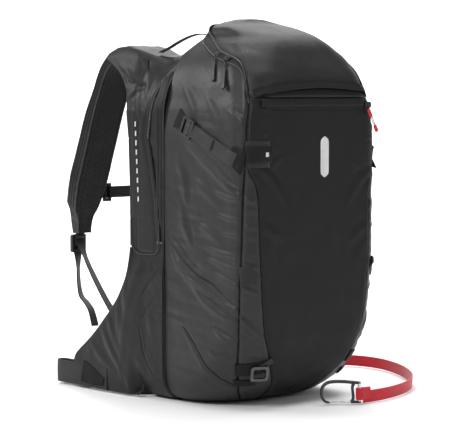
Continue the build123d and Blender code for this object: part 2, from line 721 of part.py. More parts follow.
with BuildPart() as carabiner_gate:
    with BuildSketch(cara_plane(2.2)):
        with Locations((31.5, 4.3)):
            RectangleRounded(34.0, 4.6, 2.0)
    extrude(amount=4.4)
finish_part(carabiner_gate, "carabiner_gate")

# sewn end loop round the carabiner's bar, and the strap's anchor tab on the base
with BuildPart() as leg_strap_fittings:
    with BuildSketch(Plane.XY.offset(7.4)):
        with Locations(CP0):
            Circle(6.2)
        with BuildLine():
            Polyline((57.0, -185.2), (65.4, -184.1), (65.4, -180.9), (57.0, -178.8), close=True)
        make_face()
        with Locations(CP0):
            Circle(3.9, mode=Mode.SUBTRACT)
    extrude(amount=20)
    with BuildSketch(xz_plane(117.8)):
        with BuildLine():
            Polyline((152.0, 3.0), (150.5, 23.0), (154.5, 33.0), (160.0, 33.0), (176.0, 22.0), (176.0, 3.0), close=True)
        make_face()
    extrude(amount=6)
finish_part(leg_strap_fittings, "leg_strap_fittings")

print("pull pivots", pull_info)
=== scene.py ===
import math

import bmesh
import bpy
import numpy as np
from mathutils import Matrix, Vector
from mathutils.bvhtree import BVHTree


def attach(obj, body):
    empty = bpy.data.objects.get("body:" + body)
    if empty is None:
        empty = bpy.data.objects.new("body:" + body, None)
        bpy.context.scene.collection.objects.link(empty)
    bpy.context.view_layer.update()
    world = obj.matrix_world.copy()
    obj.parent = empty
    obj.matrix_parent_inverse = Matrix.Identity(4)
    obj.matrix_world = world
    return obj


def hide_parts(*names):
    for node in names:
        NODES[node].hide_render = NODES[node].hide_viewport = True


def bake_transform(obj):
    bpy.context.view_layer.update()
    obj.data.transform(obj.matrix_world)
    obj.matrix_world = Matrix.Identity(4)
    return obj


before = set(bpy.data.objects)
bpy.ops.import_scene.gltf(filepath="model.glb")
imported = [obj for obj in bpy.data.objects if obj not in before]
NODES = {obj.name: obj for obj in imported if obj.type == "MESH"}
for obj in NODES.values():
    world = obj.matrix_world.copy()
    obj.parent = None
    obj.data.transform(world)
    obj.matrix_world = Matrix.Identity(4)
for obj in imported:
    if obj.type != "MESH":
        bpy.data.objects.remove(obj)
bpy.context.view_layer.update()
K = 0.001                      # the shapes below are worked out in millimetres


# ------------------------------------------------------------------ camera, at the photograph's viewpoint
def make_camera():
    right = Vector((0.7193, -0.6947, 0.0))
    up = Vector((0.042, 0.044, 0.998)).normalized()
    where = Vector((-2.1716, -2.2488, 0.5148))
    target = Vector((0.0, 0.0, 0.3236)) - 0.0351 * right - 0.0159 * up
    data = bpy.data.cameras.new("camera")
    data.sensor_width = 36.0
    data.lens = 1875.0 / 472.0 * 36.0
    data.clip_start, data.clip_end = 0.1, 60
    cam = bpy.data.objects.new("camera", data)
    bpy.context.scene.collection.objects.link(cam)
    cam.location = where
    cam.rotation_mode = "QUATERNION"
    cam.rotation_quaternion = (target - where).to_track_quat("-Z", "Y")
    bpy.context.scene.camera = cam


make_camera()


# ------------------------------------------------------------------ small maths helpers
def pchip(xs, ys):
    """Smooth curve through points that never overshoots them."""
    xs, ys = np.array(xs, float), np.array(ys, float)
    h = np.diff(xs)
    d = np.diff(ys) / h
    m = np.zeros(len(xs))
    for i in range(1, len(xs) - 1):
        if d[i - 1] * d[i] > 0:
            w1, w2 = 2 * h[i] + h[i - 1], h[i] + 2 * h[i - 1]
            m[i] = (w1 + w2) / (w1 / d[i - 1] + w2 / d[i])
    m[0], m[-1] = d[0], d[-1]

    def f(x):
        x = np.clip(np.asarray(x, float), xs[0], xs[-1])
        i = np.clip(np.searchsorted(xs, x, side="right") - 1, 0, len(xs) - 2)
        t = (x - xs[i]) / h[i]
        t2, t3 = t * t, t * t * t
        return ((2 * t3 - 3 * t2 + 1) * ys[i] + (t3 - 2 * t2 + t) * h[i] * m[i]
                + (3 * t2 - 2 * t3) * ys[i + 1] + (t3 - t2) * h[i] * m[i + 1])
    return f


LAT = np.random.default_rng(11).random((24, 24, 24))


def vnoise(x, y, z=0.0):
    """Smooth lattice noise, -1 to 1."""
    x, y, z = np.broadcast_arrays(np.asarray(x, float), np.asarray(y, float), np.asarray(z, float))
    i, j, k = np.floor(x).astype(int), np.floor(y).astype(int), np.floor(z).astype(int)
    f, g, h = x - i, y - j, z - k
    f, g, h = f * f * (3 - 2 * f), g * g * (3 - 2 * g), h * h * (3 - 2 * h)
    out = 0
    for a in (0, 1):
        for b in (0, 1):
            for c in (0, 1):
                w = (f if a else 1 - f) * (g if b else 1 - g) * (h if c else 1 - h)
                out = out + w * LAT[(i + a) % 24, (j + b) % 24, (k + c) % 24]
    return out * 2 - 1


def ss(a, b, x):
    t = np.clip((np.asarray(x, float) - a) / (b - a), 0, 1)
    return t * t * (3 - 2 * t)


def lerp(a, b, t):
    return a + (b - a) * t


def stroke(U, V, pts, width, height, lean=0.0):
    """A soft fold along a polyline in the fabric's own plane; lean makes one side steeper."""
    pts = np.array(pts, float)
    seg = np.diff(pts, axis=0)
    ln = np.linalg.norm(seg, axis=1)
    cum = np.concatenate([[0], np.cumsum(ln)])
    best = np.full(U.shape, 1e9)
    along = np.zeros(U.shape)
    side = np.zeros(U.shape)
    for i in range(len(seg)):
        du, dv = U - pts[i, 0], V - pts[i, 1]
        t = np.clip((du * seg[i, 0] + dv * seg[i, 1]) / (ln[i] ** 2), 0, 1)
        ex, ey = du - t * seg[i, 0], dv - t * seg[i, 1]
        d = np.hypot(ex, ey)
        cr = (seg[i, 0] * ey - seg[i, 1] * ex) / ln[i]
        m = d < best
        best = np.where(m, d, best)
        along = np.where(m, cum[i] + t * ln[i], along)
        side = np.where(m, cr, side)
    f = along / cum[-1]
    taper = np.sin(np.pi * np.clip(f * 0.94 + 0.03, 0, 1)) ** 0.7
    w = width * (0.55 + 0.6 * taper)
    prof = np.exp(-(best / w) ** 2)
    if lean:
        prof = prof - lean * np.exp(-((side - 1.3 * w) / (0.9 * w)) ** 2) * (best < 4 * w)
    return height * taper * prof


def groove(d, width, depth):
    return -depth * np.exp(-(d / width) ** 2)


def grid_normals(P, closed=False):
    if closed:
        du = np.roll(P, -1, axis=1) - np.roll(P, 1, axis=1)
    else:
        du = np.gradient(P, axis=1)
    dv = np.gradient(P, axis=0)
    n = np.cross(du, dv)
    return n / np.maximum(np.linalg.norm(n, axis=2, keepdims=True), 1e-9)


def put(obj, body, slot, *replaced):
    """Rides a finished piece on its body and hides the parts it stands for; slot is not used."""
    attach(obj, body)
    if replaced:
        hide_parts(*replaced)
    return obj


def mesh_from(name, verts, faces, mats, uv=None, mat_index=None, smooth=True):
    me = bpy.data.meshes.new(name)
    verts = np.asarray(verts, float) * K
    me.from_pydata([tuple(v) for v in verts], [], faces)
    if uv is not None:
        at = me.attributes.new("fab", "FLOAT_VECTOR", "POINT")
        u = np.zeros((len(verts), 3), np.float32)
        u[:, :2] = np.asarray(uv, float).reshape(-1, 2) * K
        at.data.foreach_set("vector", u.ravel())
    for m in (mats if isinstance(mats, (list, tuple)) else [mats]):
        me.materials.append(m)
    if mat_index is not None:
        me.polygons.foreach_set("material_index", np.asarray(mat_index, np.int32))
    if smooth:
        me.polygons.foreach_set("use_smooth", np.ones(len(me.polygons), bool))
    me.update()
    o = bpy.data.objects.new(name, me)
    bpy.context.scene.collection.objects.link(o)
    return o


def grid_piece(name, P, mats, uv=None, closed=False, keep=None, mat_index=None, flip=False, cap0=False, cap1=False):
    """A mesh from a grid of points; keep and mat_index are per face."""
    R, C = P.shape[:2]
    cc = C if closed else C - 1
    idx = np.arange(R * C).reshape(R, C)
    a = idx[:-1, :cc]
    b = np.roll(idx, -1, axis=1)[:-1, :cc]
    c = np.roll(idx, -1, axis=1)[1:, :cc]
    d = idx[1:, :cc]
    quads = np.stack([a, b, c, d], axis=2)
    if flip:
        quads = quads[:, :, ::-1]
    if keep is None:
        keep = np.ones((R - 1, cc), bool)
    sel = quads[keep]
    mi = None if mat_index is None else np.broadcast_to(mat_index, (R - 1, cc))[keep]
    faces = [tuple(int(q) for q in f) for f in sel]
    if cap0:
        faces.append(tuple(int(q) for q in (idx[0, ::-1] if not flip else idx[0])))
    if cap1:
        faces.append(tuple(int(q) for q in (idx[-1] if not flip else idx[-1, ::-1])))
    if mi is not None:
        mi = np.concatenate([mi, np.zeros(len(faces) - len(mi), int)])
    used = np.unique(np.concatenate([np.array(f) for f in faces]))
    remap = np.full(R * C, -1)
    remap[used] = np.arange(len(used))
    faces = [tuple(int(remap[q]) for q in f) for f in faces]
    pts = P.reshape(-1, 3)[used]
    uvs = None if uv is None else uv.reshape(-1, 2)[used]
    return mesh_from(name, pts, faces, mats, uvs, mi)


def add_solid(o, t, offset=-1.0):
    m = o.modifiers.new("solid", "SOLIDIFY")
    m.thickness = t * K
    m.offset = offset
    m.use_even_offset = False
    return o


def add_bevel(o, w, segments=2, angle=35):
    m = o.modifiers.new("bevel", "BEVEL")
    m.width = w * K
    m.segments = segments
    m.limit_method = "ANGLE"
    m.angle_limit = math.radians(angle)
    m.harden_normals = False
    return o


def add_subsurf(o, n=1):
    m = o.modifiers.new("sub", "SUBSURF")
    m.levels = n
    m.render_levels = n
    return o


def apply_mods(o):
    dg = bpy.context.evaluated_depsgraph_get()
    e = o.evaluated_get(dg)
    me = bpy.data.meshes.new_from_object(e, preserve_all_data_layers=True, depsgraph=dg)
    o.modifiers.clear()
    o.data = me
    return o


# ------------------------------------------------------------------ materials
def new_mat(name):
    m = bpy.data.materials.new(name)
    m.use_nodes = True
    m.node_tree.nodes.clear()
    return m


class NT:
    """Short hand for building node trees."""

    def __init__(self, m):
        self.t = m.node_tree

    def n(self, kind, **props):
        node = self.t.nodes.new(kind)
        for k, v in props.items():
            setattr(node, k, v)
        return node

    def link(self, a, b):
        self.t.links.new(a, b)

    def val(self, sock, v):
        if isinstance(v, (int, float)):
            sock.default_value = v
        elif isinstance(v, (tuple, list)):
            sock.default_value = v
        else:
            self.link(v, sock)

    def math(self, op, a, b=0.0, c=0.0, clamp=False):
        node = self.n("ShaderNodeMath", operation=op, use_clamp=clamp)
        for s, v in zip(node.inputs, (a, b, c)):
            self.val(s, v)
        return node.outputs[0]

    def mix(self, f, a, b):
        node = self.n("ShaderNodeMix", data_type="RGBA")
        self.val(node.inputs[0], f)
        self.val(node.inputs[6], a)
        self.val(node.inputs[7], b)
        return node.outputs[2]

    def ramp(self, f, stops):
        node = self.n("ShaderNodeMapRange", clamp=True)
        self.val(node.inputs[0], f)
        lo, hi, a, b = stops
        for i, v in zip((1, 2, 3, 4), (lo, hi, a, b)):
            node.inputs[i].default_value = v
        return node.outputs[0]

    def noise(self, vec, scale, detail=3.0, rough=0.55):
        node = self.n("ShaderNodeTexNoise")
        if vec is not None:
            self.link(vec, node.inputs["Vector"])
        node.inputs["Scale"].default_value = scale
        node.inputs["Detail"].default_value = detail
        node.inputs["Roughness"].default_value = rough
        return node.outputs["Fac"]

    def bump(self, h, dist, strength=1.0, normal=None):
        node = self.n("ShaderNodeBump")
        node.inputs["Strength"].default_value = strength
        node.inputs["Distance"].default_value = dist
        self.link(h, node.inputs["Height"])
        if normal is not None:
            self.link(normal, node.inputs["Normal"])
        return node.outputs[0]


def rgb(c):
    return (c[0], c[1], c[2], 1.0)


def shade(g, color, rough, normal, metallic=0.0, sheen=0.0, sheen_rough=0.4, spec=0.5, coat=0.0):
    p = g.n("ShaderNodeBsdfPrincipled")
    g.val(p.inputs["Base Color"], color)
    g.val(p.inputs["Roughness"], rough)
    p.inputs["Metallic"].default_value = metallic
    p.inputs["Specular IOR Level"].default_value = spec
    p.inputs["Sheen Weight"].default_value = sheen
    p.inputs["Sheen Roughness"].default_value = sheen_rough
    p.inputs["Coat Weight"].default_value = coat
    if normal is not None:
        g.link(normal, p.inputs["Normal"])
    out = g.n("ShaderNodeOutputMaterial")
    g.link(p.outputs[0], out.inputs[0])
    return p


def fab_uv(g):
    at = g.n("ShaderNodeAttribute", attribute_type="GEOMETRY", attribute_name="fab")
    sep = g.n("ShaderNodeSeparateXYZ")
    g.link(at.outputs["Vector"], sep.inputs[0])
    return sep.outputs[0], sep.outputs[1]


def obj_coord(g):
    return g.n("ShaderNodeTexCoord").outputs["Object"]


def plain_weave(g, u, v, pitch):
    """Height of a plain weave of that thread pitch, from the piece's own fabric coordinates."""
    k = math.pi / pitch
    su = g.math("SINE", g.math("MULTIPLY", u, k))
    sv = g.math("SINE", g.math("MULTIPLY", v, k))
    over = g.math("GREATER_THAN", g.math("MULTIPLY", su, sv), 0.0)
    au, av = g.math("ABSOLUTE", su), g.math("ABSOLUTE", sv)
    a = g.math("MULTIPLY", au, over)
    b = g.math("MULTIPLY", av, g.math("SUBTRACT", 1.0, over))
    return g.math("ADD", a, b)


def grid_lines(g, u, v, pitch, share):
    """1 on a square grid of thicker threads."""
    def one(c):
        f = g.math("FRACT", g.math("DIVIDE", c, pitch))
        return g.math("LESS_THAN", f, share)
    return g.math("MAXIMUM", one(u), one(v))


def fabric(name, base, rough=0.5, pitch=0.0007, ripstop=None, crinkle=0.0006, crinkle_scale=55.0, sheen=0.15,
           spec=0.5, tint=None, vary=0.25, edge=0.25):
    m = new_mat(name)
    g = NT(m)
    u, v = fab_uv(g)
    oc = obj_coord(g)
    w = plain_weave(g, u, v, pitch)
    big = g.noise(oc, 9.0, 4.0)
    mid = g.noise(oc, 140.0, 3.0)
    tint = tint or tuple(min(1.0, c * 1.7) for c in base)
    dark = tuple(c * 0.72 for c in base)
    col = g.mix(g.ramp(big, (0.3, 0.7, 0.0, vary * 2)), rgb(base), rgb(tint))
    col = g.mix(g.ramp(mid, (0.35, 0.7, 0.0, vary)), col, rgb(dark))
    col = g.mix(g.ramp(w, (0.0, 0.9, 0.45, 0.0)), col, rgb(dark))
    geo = g.n("ShaderNodeNewGeometry")
    wear = g.ramp(geo.outputs["Pointiness"], (0.51, 0.58, 0.0, edge))
    col = g.mix(wear, col, rgb(tuple(min(1.0, c * 3.0 + 0.01) for c in base)))
    h = w
    if ripstop:
        lines = grid_lines(g, u, v, ripstop, 0.13)
        h = g.math("ADD", w, g.math("MULTIPLY", lines, 1.1))
        col = g.mix(g.math("MULTIPLY", lines, 0.30), col, rgb(tint))
    nrm = g.bump(g.noise(oc, crinkle_scale, 4.0, 0.6), crinkle * 2.2, 0.8)
    nrm = g.bump(h, 0.00004, 0.5, nrm)
    r = g.ramp(big, (0.3, 0.7, rough - 0.06, rough + 0.08))
    shade(g, col, r, nrm, sheen=sheen, spec=spec)
    return m


def webbing(name, base, pitch=0.0016, rough=0.6, sheen=0.2, edge_dark=0.35):
    """Narrow woven strap: ribs across it, finer ribs along it, dark flecks; u runs along, v across from 0 to 1 mm units
    of width.
    """
    m = new_mat(name)
    g = NT(m)
    u, v = fab_uv(g)
    oc = obj_coord(g)
    rib = g.math("ABSOLUTE", g.math("SINE", g.math("MULTIPLY", u, math.pi / pitch)))
    cross = g.math("ABSOLUTE", g.math("SINE", g.math("MULTIPLY", v, math.pi / (pitch * 0.8))))
    h = g.math("ADD", g.math("MULTIPLY", rib, 0.7), g.math("MULTIPLY", cross, 0.45))
    big = g.noise(oc, 22.0, 3.0)
    fine = g.noise(oc, 900.0, 2.0)
    light = tuple(min(1.0, c * 1.45 + 0.006) for c in base)
    dark = tuple(c * 0.55 for c in base)
    col = g.mix(g.ramp(big, (0.3, 0.7, 0.0, 0.5)), rgb(base), rgb(light))
    col = g.mix(g.ramp(h, (0.1, 0.9, 0.55, 0.0)), col, rgb(dark))
    col = g.mix(g.ramp(fine, (0.45, 0.7, 0.0, edge_dark)), col, rgb(dark))
    nrm = g.bump(h, 0.00022, 0.7)
    shade(g, col, g.ramp(big, (0.3, 0.7, rough - 0.06, rough + 0.08)), nrm, sheen=sheen, spec=0.35)
    return m


def mesh_cloth(name, base, cell=0.0030):
    """Spacer mesh: small holes in staggered rows over foam, painted near black as the shade inside them."""
    m = new_mat(name)
    g = NT(m)
    u, v = fab_uv(g)
    oc = obj_coord(g)
    row = g.math("FLOOR", g.math("DIVIDE", v, cell * 0.86))
    shift = g.math("MULTIPLY", g.math("MODULO", row, 2.0), cell * 0.5)
    fu = g.math("SUBTRACT", g.math("FRACT", g.math("DIVIDE", g.math("ADD", u, shift), cell)), 0.5)
    fv = g.math("SUBTRACT", g.math("FRACT", g.math("DIVIDE", v, cell * 0.86)), 0.5)
    d = g.math("SQRT", g.math("ADD", g.math("MULTIPLY", fu, fu), g.math("MULTIPLY", fv, fv)))
    hole = g.ramp(d, (0.20, 0.36, 1.0, 0.0))
    big = g.noise(oc, 30.0, 3.0)
    light = tuple(min(1.0, c * 1.8 + 0.004) for c in base)
    dark = tuple(c * 0.25 for c in base)
    col = g.mix(g.ramp(big, (0.3, 0.7, 0.0, 0.6)), rgb(base), rgb(light))
    # painted shade: the holes' near-black colour stands for the shade inside them
    col = g.mix(g.math("MULTIPLY", hole, 0.8), col, rgb(dark))
    nrm = g.bump(g.noise(oc, 1500.0, 2.0), 0.0003, 0.5)
    nrm = g.bump(g.math("SUBTRACT", 1.0, hole), 0.0007, 0.9, nrm)
    shade(g, col, 0.82, nrm, sheen=0.25, spec=0.25)
    return m


def moulded(name, base, rough=0.42, grain=0.00012, spec=0.5, wear=0.4):
    m = new_mat(name)
    g = NT(m)
    oc = obj_coord(g)
    n1 = g.noise(oc, 1400.0, 2.0)
    n2 = g.noise(oc, 60.0, 4.0)
    light = tuple(min(1.0, c * 1.8 + 0.02) for c in base)
    col = g.mix(g.ramp(n2, (0.35, 0.7, 0.0, 0.35)), rgb(base), rgb(light))
    geo = g.n("ShaderNodeNewGeometry")
    col = g.mix(g.ramp(geo.outputs["Pointiness"], (0.52, 0.60, 0.0, wear)), col, rgb(light))
    nrm = g.bump(n1, grain, 0.6)
    shade(g, col, g.ramp(n2, (0.3, 0.7, rough - 0.07, rough + 0.1)), nrm, spec=spec)
    return m


def metal(name, base, rough=0.32, scratch=0.35, metallic=1.0):
    m = new_mat(name)
    g = NT(m)
    oc = obj_coord(g)
    mp = g.n("ShaderNodeMapping")
    g.link(oc, mp.inputs[0])
    mp.inputs["Scale"].default_value = (900.0, 900.0, 90.0)
    n1 = g.noise(mp.outputs[0], 1.0, 3.0)
    n2 = g.noise(oc, 80.0, 4.0)
    light = tuple(min(1.0, c * 1.6 + 0.05) for c in base)
    col = g.mix(g.ramp(n2, (0.4, 0.7, 0.0, scratch)), rgb(base), rgb(light))
    geo = g.n("ShaderNodeNewGeometry")
    col = g.mix(g.ramp(geo.outputs["Pointiness"], (0.53, 0.62, 0.0, 0.6)), col, rgb(light))
    nrm = g.bump(n1, 0.00006, 0.5)
    shade(g, col, g.ramp(n1, (0.3, 0.7, rough - 0.08, rough + 0.12)), nrm, metallic=metallic)
    return m


def zip_coil_mat(name, base, pitch=0.0018):
    m = new_mat(name)
    g = NT(m)
    u, v = fab_uv(g)
    oc = obj_coord(g)
    t = g.math("ABSOLUTE", g.math("SINE", g.math("MULTIPLY", u, math.pi / pitch)))
    col = g.mix(g.ramp(t, (0.1, 0.8, 0.0, 1.0)), rgb(tuple(c * 0.3 for c in base)), rgb(base))
    nz = g.noise(oc, 200.0, 2.0)
    col = g.mix(g.ramp(nz, (0.4, 0.7, 0.0, 0.3)), col, rgb(tuple(c * 1.8 for c in base)))
    nrm = g.bump(t, 0.0008, 1.0)
    shade(g, col, 0.38, nrm, spec=0.5)
    return m


BLACK = fabric("shell_black", (0.0090, 0.0090, 0.0100), rough=0.56, pitch=0.0008, crinkle=0.00035, crinkle_scale=48.0, sheen=0.0, spec=0.20, edge=0.12)
GREY = fabric("shell_grey", (0.0133, 0.0135, 0.0145), rough=0.44, pitch=0.0007, ripstop=0.0052, crinkle=0.00045, crinkle_scale=75.0, sheen=0.0, spec=0.37, edge=0.2)
# the hood is the same black shell as the front; its lighter base colour is painted light on the hood's top, which faces
# the lamps
HOOD_LIT_BLACK = fabric("hood_black_lit", (0.0130, 0.0131, 0.0143), rough=0.50, pitch=0.0008, crinkle=0.0004, crinkle_scale=48.0, sheen=0.0, spec=0.28, edge=0.12)
BASEF = fabric("base_fabric", (0.0112, 0.0114, 0.0122), rough=0.46, pitch=0.0010, crinkle=0.00045, crinkle_scale=55.0, sheen=0.0, spec=0.27, edge=0.2)
TRIM = fabric("trim_black", (0.0060, 0.0060, 0.0066), rough=0.6, pitch=0.0009, crinkle=0.0003, crinkle_scale=60.0, sheen=0.0, spec=0.2, edge=0.1)
PIPING = fabric("edge_binding", (0.030, 0.031, 0.034), rough=0.5, pitch=0.0008, crinkle=0.0003, sheen=0.05, spec=0.35)
LINING = fabric("lining", (0.30, 0.31, 0.33), rough=0.55, pitch=0.0008, crinkle=0.0006, sheen=0.1, tint=(0.36, 0.37, 0.39))
MESH = mesh_cloth("mesh_black", (0.0075, 0.0075, 0.0085))
MESHG = mesh_cloth("mesh_grey", (0.018, 0.018, 0.021), cell=0.0036)
FOAMC = fabric("foam_cover", (0.022, 0.022, 0.024), rough=0.75, pitch=0.0011, crinkle=0.0004, sheen=0.3, spec=0.25)
WEB = webbing("webbing_black", (0.0085, 0.0085, 0.0095))
WEBG = webbing("webbing_grey", (0.016, 0.016, 0.018))
RED = webbing("webbing_red", (0.50, 0.008, 0.022), pitch=0.0018, rough=0.62, sheen=0.25, edge_dark=0.2)
REDP = moulded("red_rubber", (0.52, 0.012, 0.022), rough=0.5)
TAPE = webbing("zip_tape", (0.0040, 0.0040, 0.0044), pitch=0.0011, rough=0.72, sheen=0.0)
COIL = zip_coil_mat("zip_coil", (0.022, 0.022, 0.025))
BURST = zip_coil_mat("burst_teeth", (0.012, 0.012, 0.0135), pitch=0.0032)
PLASTIC = moulded("plastic_black", (0.0090, 0.0090, 0.0100))
PLASTIC_G = moulded("plastic_grey", (0.09, 0.09, 0.098), rough=0.5)
PULLB = moulded("pull_black", (0.010, 0.010, 0.011), rough=0.5, wear=0.2)
SLIDERM = metal("slider_metal", (0.035, 0.035, 0.038), rough=0.38)
DARKM = metal("metal_dark", (0.055, 0.056, 0.060), rough=0.36)
SILVER = metal("metal_silver", (0.62, 0.63, 0.65), rough=0.22)
ALU = metal("aluminium_bar", (0.62, 0.63, 0.64), rough=0.35)
AIRBAG = fabric("airbag_nylon", (0.62, 0.10, 0.03), rough=0.5, pitch=0.0007, ripstop=0.0052, crinkle=0.0018, crinkle_scale=70.0, tint=(0.70, 0.14, 0.05))
REFLECT = moulded("reflective_print", (0.55, 0.55, 0.55), rough=0.55, wear=0.1)
SHEETM = moulded("sheet_black", (0.03, 0.03, 0.032), rough=0.45)
BATT = moulded("battery_wrap", (0.10, 0.13, 0.20), rough=0.35)
THREAD = fabric("thread_grey", (0.070, 0.070, 0.075), rough=0.7, pitch=0.0005, crinkle=0.0002, sheen=0.1)


# ------------------------------------------------------------------ leg strap: a flat webbing on its edge, from the base to the carabiner
LEG_ROUTE = [(0.172, 0.122), (0.207, 0.149), (0.252, 0.166), (0.300, 0.165), (0.341, 0.143), (0.363, 0.102), (0.365, 0.054), (0.350, 0.010),
             (0.329, -0.032), (0.301, -0.072), (0.267, -0.111), (0.227, -0.145), (0.181, -0.168), (0.137, -0.180), (0.100, -0.184), (0.066, -0.1825)]


def nurbs_line(name, pts):
    """The smooth line of a NURBS spline with those control points, as points in metres."""
    cu = bpy.data.curves.new(name, "CURVE")
    cu.dimensions = "3D"
    cu.resolution_u = 16
    sp = cu.splines.new("NURBS")
    sp.points.add(len(pts) - 1)
    for p, q in zip(sp.points, pts):
        p.co = (*q, 1.0)
    sp.order_u = 3
    sp.use_endpoint_u = True
    o = bpy.data.objects.new(name, cu)
    me = bpy.data.meshes.new_from_object(o)
    line = np.array([v.co for v in me.vertices], float).reshape(-1, 3)
    bpy.data.meshes.remove(me)
    bpy.data.objects.remove(o)
    bpy.data.curves.remove(cu)
    return line


def resample(line, step):
    d = np.concatenate([[0], np.cumsum(np.linalg.norm(np.diff(line, axis=0), axis=1))])
    at = np.linspace(0, d[-1], max(3, int(round(d[-1] / step)) + 1))
    return np.stack([np.interp(at, d, line[:, k]) for k in range(3)], axis=1), at


# flat band cross-section, (across 0..1 from -0.5 to 0.5, through -0.5 to 0.5)
BAND = [(-0.5, 0.0), (-0.49, 0.34), (-0.45, 0.5), (-0.3, 0.5), (-0.15, 0.5), (0.0, 0.5), (0.15, 0.5), (0.3, 0.5), (0.45, 0.5), (0.49, 0.34),
        (0.5, 0.0), (0.49, -0.34), (0.45, -0.5), (0.3, -0.5), (0.15, -0.5), (0.0, -0.5), (-0.15, -0.5), (-0.3, -0.5), (-0.45, -0.5), (-0.49, -0.34)]


def band(name, line, wdir, width, thick, mats, step=2.5, crown=0.0, ripple=0.0, width_at=None, seed=0.0, ends=True):
    """Webbing swept along a line (mm): wdir gives the width direction, one vector or one per point."""
    line = np.asarray(line, float)
    wd = np.broadcast_to(np.asarray(wdir, float), line.shape)
    d = np.concatenate([[0], np.cumsum(np.linalg.norm(np.diff(line, axis=0), axis=1))])
    n = max(3, int(round(d[-1] / step)) + 1)
    at = np.linspace(0, d[-1], n)
    L = np.stack([np.interp(at, d, line[:, k]) for k in range(3)], axis=1)
    W = np.stack([np.interp(at, d, wd[:, k]) for k in range(3)], axis=1)
    T = np.gradient(L, axis=0)
    T /= np.linalg.norm(T, axis=1, keepdims=True)
    W = W - T * (W * T).sum(1, keepdims=True)
    W /= np.linalg.norm(W, axis=1, keepdims=True)
    N = np.cross(W, T)
    sec = np.array(BAND)
    ww = np.full(n, float(width)) if width_at is None else np.interp(at / d[-1], *width_at) * width
    P = np.zeros((n, len(sec), 3))
    for k, (a, b) in enumerate(sec):
        lift = crown * (1 - (2 * a) ** 2)
        rp = ripple * vnoise(at / 14.0 + seed, a * 3.0 + 5.0, seed)
        P[:, k] = L + W * (a * ww)[:, None] + N * ((b * thick) + lift + rp)[:, None]
    uv = np.zeros((n, len(sec), 2))
    uv[:, :, 0] = at[:, None]
    uv[:, :, 1] = (sec[:, 0] * width + (sec[:, 1] < 0) * 0.0)[None, :]
    return grid_piece(name, P, mats, uv, closed=True, cap0=ends, cap1=ends)


def run(pts, mm=True, n=None):
    """A smooth line through control points given in mm."""
    line = nurbs_line("route", [tuple(c * K for c in p) for p in pts])
    return line / K


leg_line = nurbs_line("leg_route", [(x, y, 0.0112) for x, y in LEG_ROUTE])
leg_mm, leg_at = resample(leg_line / K, 2.2)
wobble = 0.35 * vnoise(leg_at / 60.0, 3.3)
# the webbing leans a little as it lies
lean = 0.10 * np.sin(leg_at / 110.0)
Tn = np.gradient(leg_mm, axis=0)
Tn /= np.linalg.norm(Tn, axis=1, keepdims=True)
side = np.cross(Tn, (0, 0, 1.0))
wd = np.array([0, 0, 1.0]) + side * lean[:, None]
leg = band("leg_webbing", leg_mm, wd, 20.0, 2.3, RED, step=2.2, ripple=0.12)
put(leg, "pack", "webbing_red", "leg_strap")

# ------------------------------------------------------------------ cargo bag: one surface, cut into its panels along the real seams
SEC = np.array([(0, 112, -12, 58, 60), (5, 131, -44, 58, 92), (20, 147, -77, 58, 108), (45, 154, -107, 58, 100), (80, 155, -128, 58, 85),
                (120, 155, -137, 58, 65), (170, 155, -138, 58, 50), (250, 155, -138, 58, 38), (430, 155, -138, 58, 38), (478, 151, -138, 58, 41),
                (500, 145, -135.5, 58, 45), (525, 139, -131, 58, 48), (545, 131, -125, 58, 50), (565, 118.5, -114, 58, 52), (585, 99, -101, 46, 50),
                (600, 82, -82, 36, 46), (614, 74, -38, 33, 34), (623.5, 50, -4, 29, 15), (629, 22, 4, 24, 9)], float)
HXF, YFF, YBF, RRF = [pchip(SEC[:, 0], SEC[:, k]) for k in (1, 2, 3, 4)]
S1F = pchip([0, 4, 28, 74, 134, 198, 270, 340, 402, 450, 500], [70, 76, 112, 144, 156, 158, 156, 154, 150, 148, 140])
S2F = pchip([0, 4, 44, 68, 100, 124, 182, 276, 332, 362, 380, 392], [44, 48, 68, 86, 102, 112, 120, 126, 128, 133, 143, 148.5])
ZIPY = np.array([-160.0, -128, -117.5, -115, -111.5, -99, -88, -73, -52, -33, 19, 31, 33])
ZIPZ = np.array([500.0, 500, 501.5, 511, 526, 547, 555.5, 562.3, 567.8, 572.8, 598.5, 607.5, 650])


def s_back(z):
    r = RRF(z)
    return (HXF(z) - r) + r * math.pi / 2 + (YBF(z) - (YFF(z) + r))


R500 = float(140 / s_back(500))


def seam1(z):
    return np.where(z <= 500, S1F(z), R500 * s_back(z))


def seam2(z):
    return np.where(z < 392, S2F(z), seam1(z) - 2.0)


def plan(z, s):
    hx, yf, r = HXF(z), YFF(z), RRF(z)
    a = hx - r
    t = np.abs(s)
    ph = np.clip((t - a) / r, 0, math.pi / 2)
    x = np.where(t < a, t, a + r * np.sin(ph))
    y = yf + r - r * np.cos(ph) + np.maximum(t - a - r * math.pi / 2, 0)
    return np.sign(s) * x, y


SEGS = [("sideL", 96), ("stripL", 18), ("front", 124), ("stripR", 18), ("sideR", 96), ("back", 56)]
COLS, COLT = [], []
for i, (nm, n) in enumerate(SEGS):
    for k in range(n):
        COLS.append(i)
        COLT.append(k / n)
COLS, COLT = np.array(COLS), np.array(COLT)
NC = len(COLS)


def body_point(Z, want_s=False):
    """Z is rows x columns; gives points and the distance round the plan from the middle of the front."""
    sb, s1, s2 = s_back(Z), seam1(Z), seam2(Z)
    t = COLT[None, :]
    S = np.select([COLS == 0, COLS == 1, COLS == 2, COLS == 3, COLS == 4],
                  [-lerp(sb, s1, t), -lerp(s1, s2, t), lerp(-s2, s2, t), lerp(s2, s1, t), lerp(s1, sb, t)], 0.0)
    X, Y = plan(Z, S)
    isb = np.broadcast_to(COLS == 5, Z.shape)
    X = np.where(isb, HXF(Z) * (1 - 2 * t), X)
    Y = np.where(isb, YBF(Z), Y)
    S = np.where(isb, sb + (1 - np.abs(1 - 2 * t)) * 60, S)
    return np.stack([X, Y, Z], axis=2), S


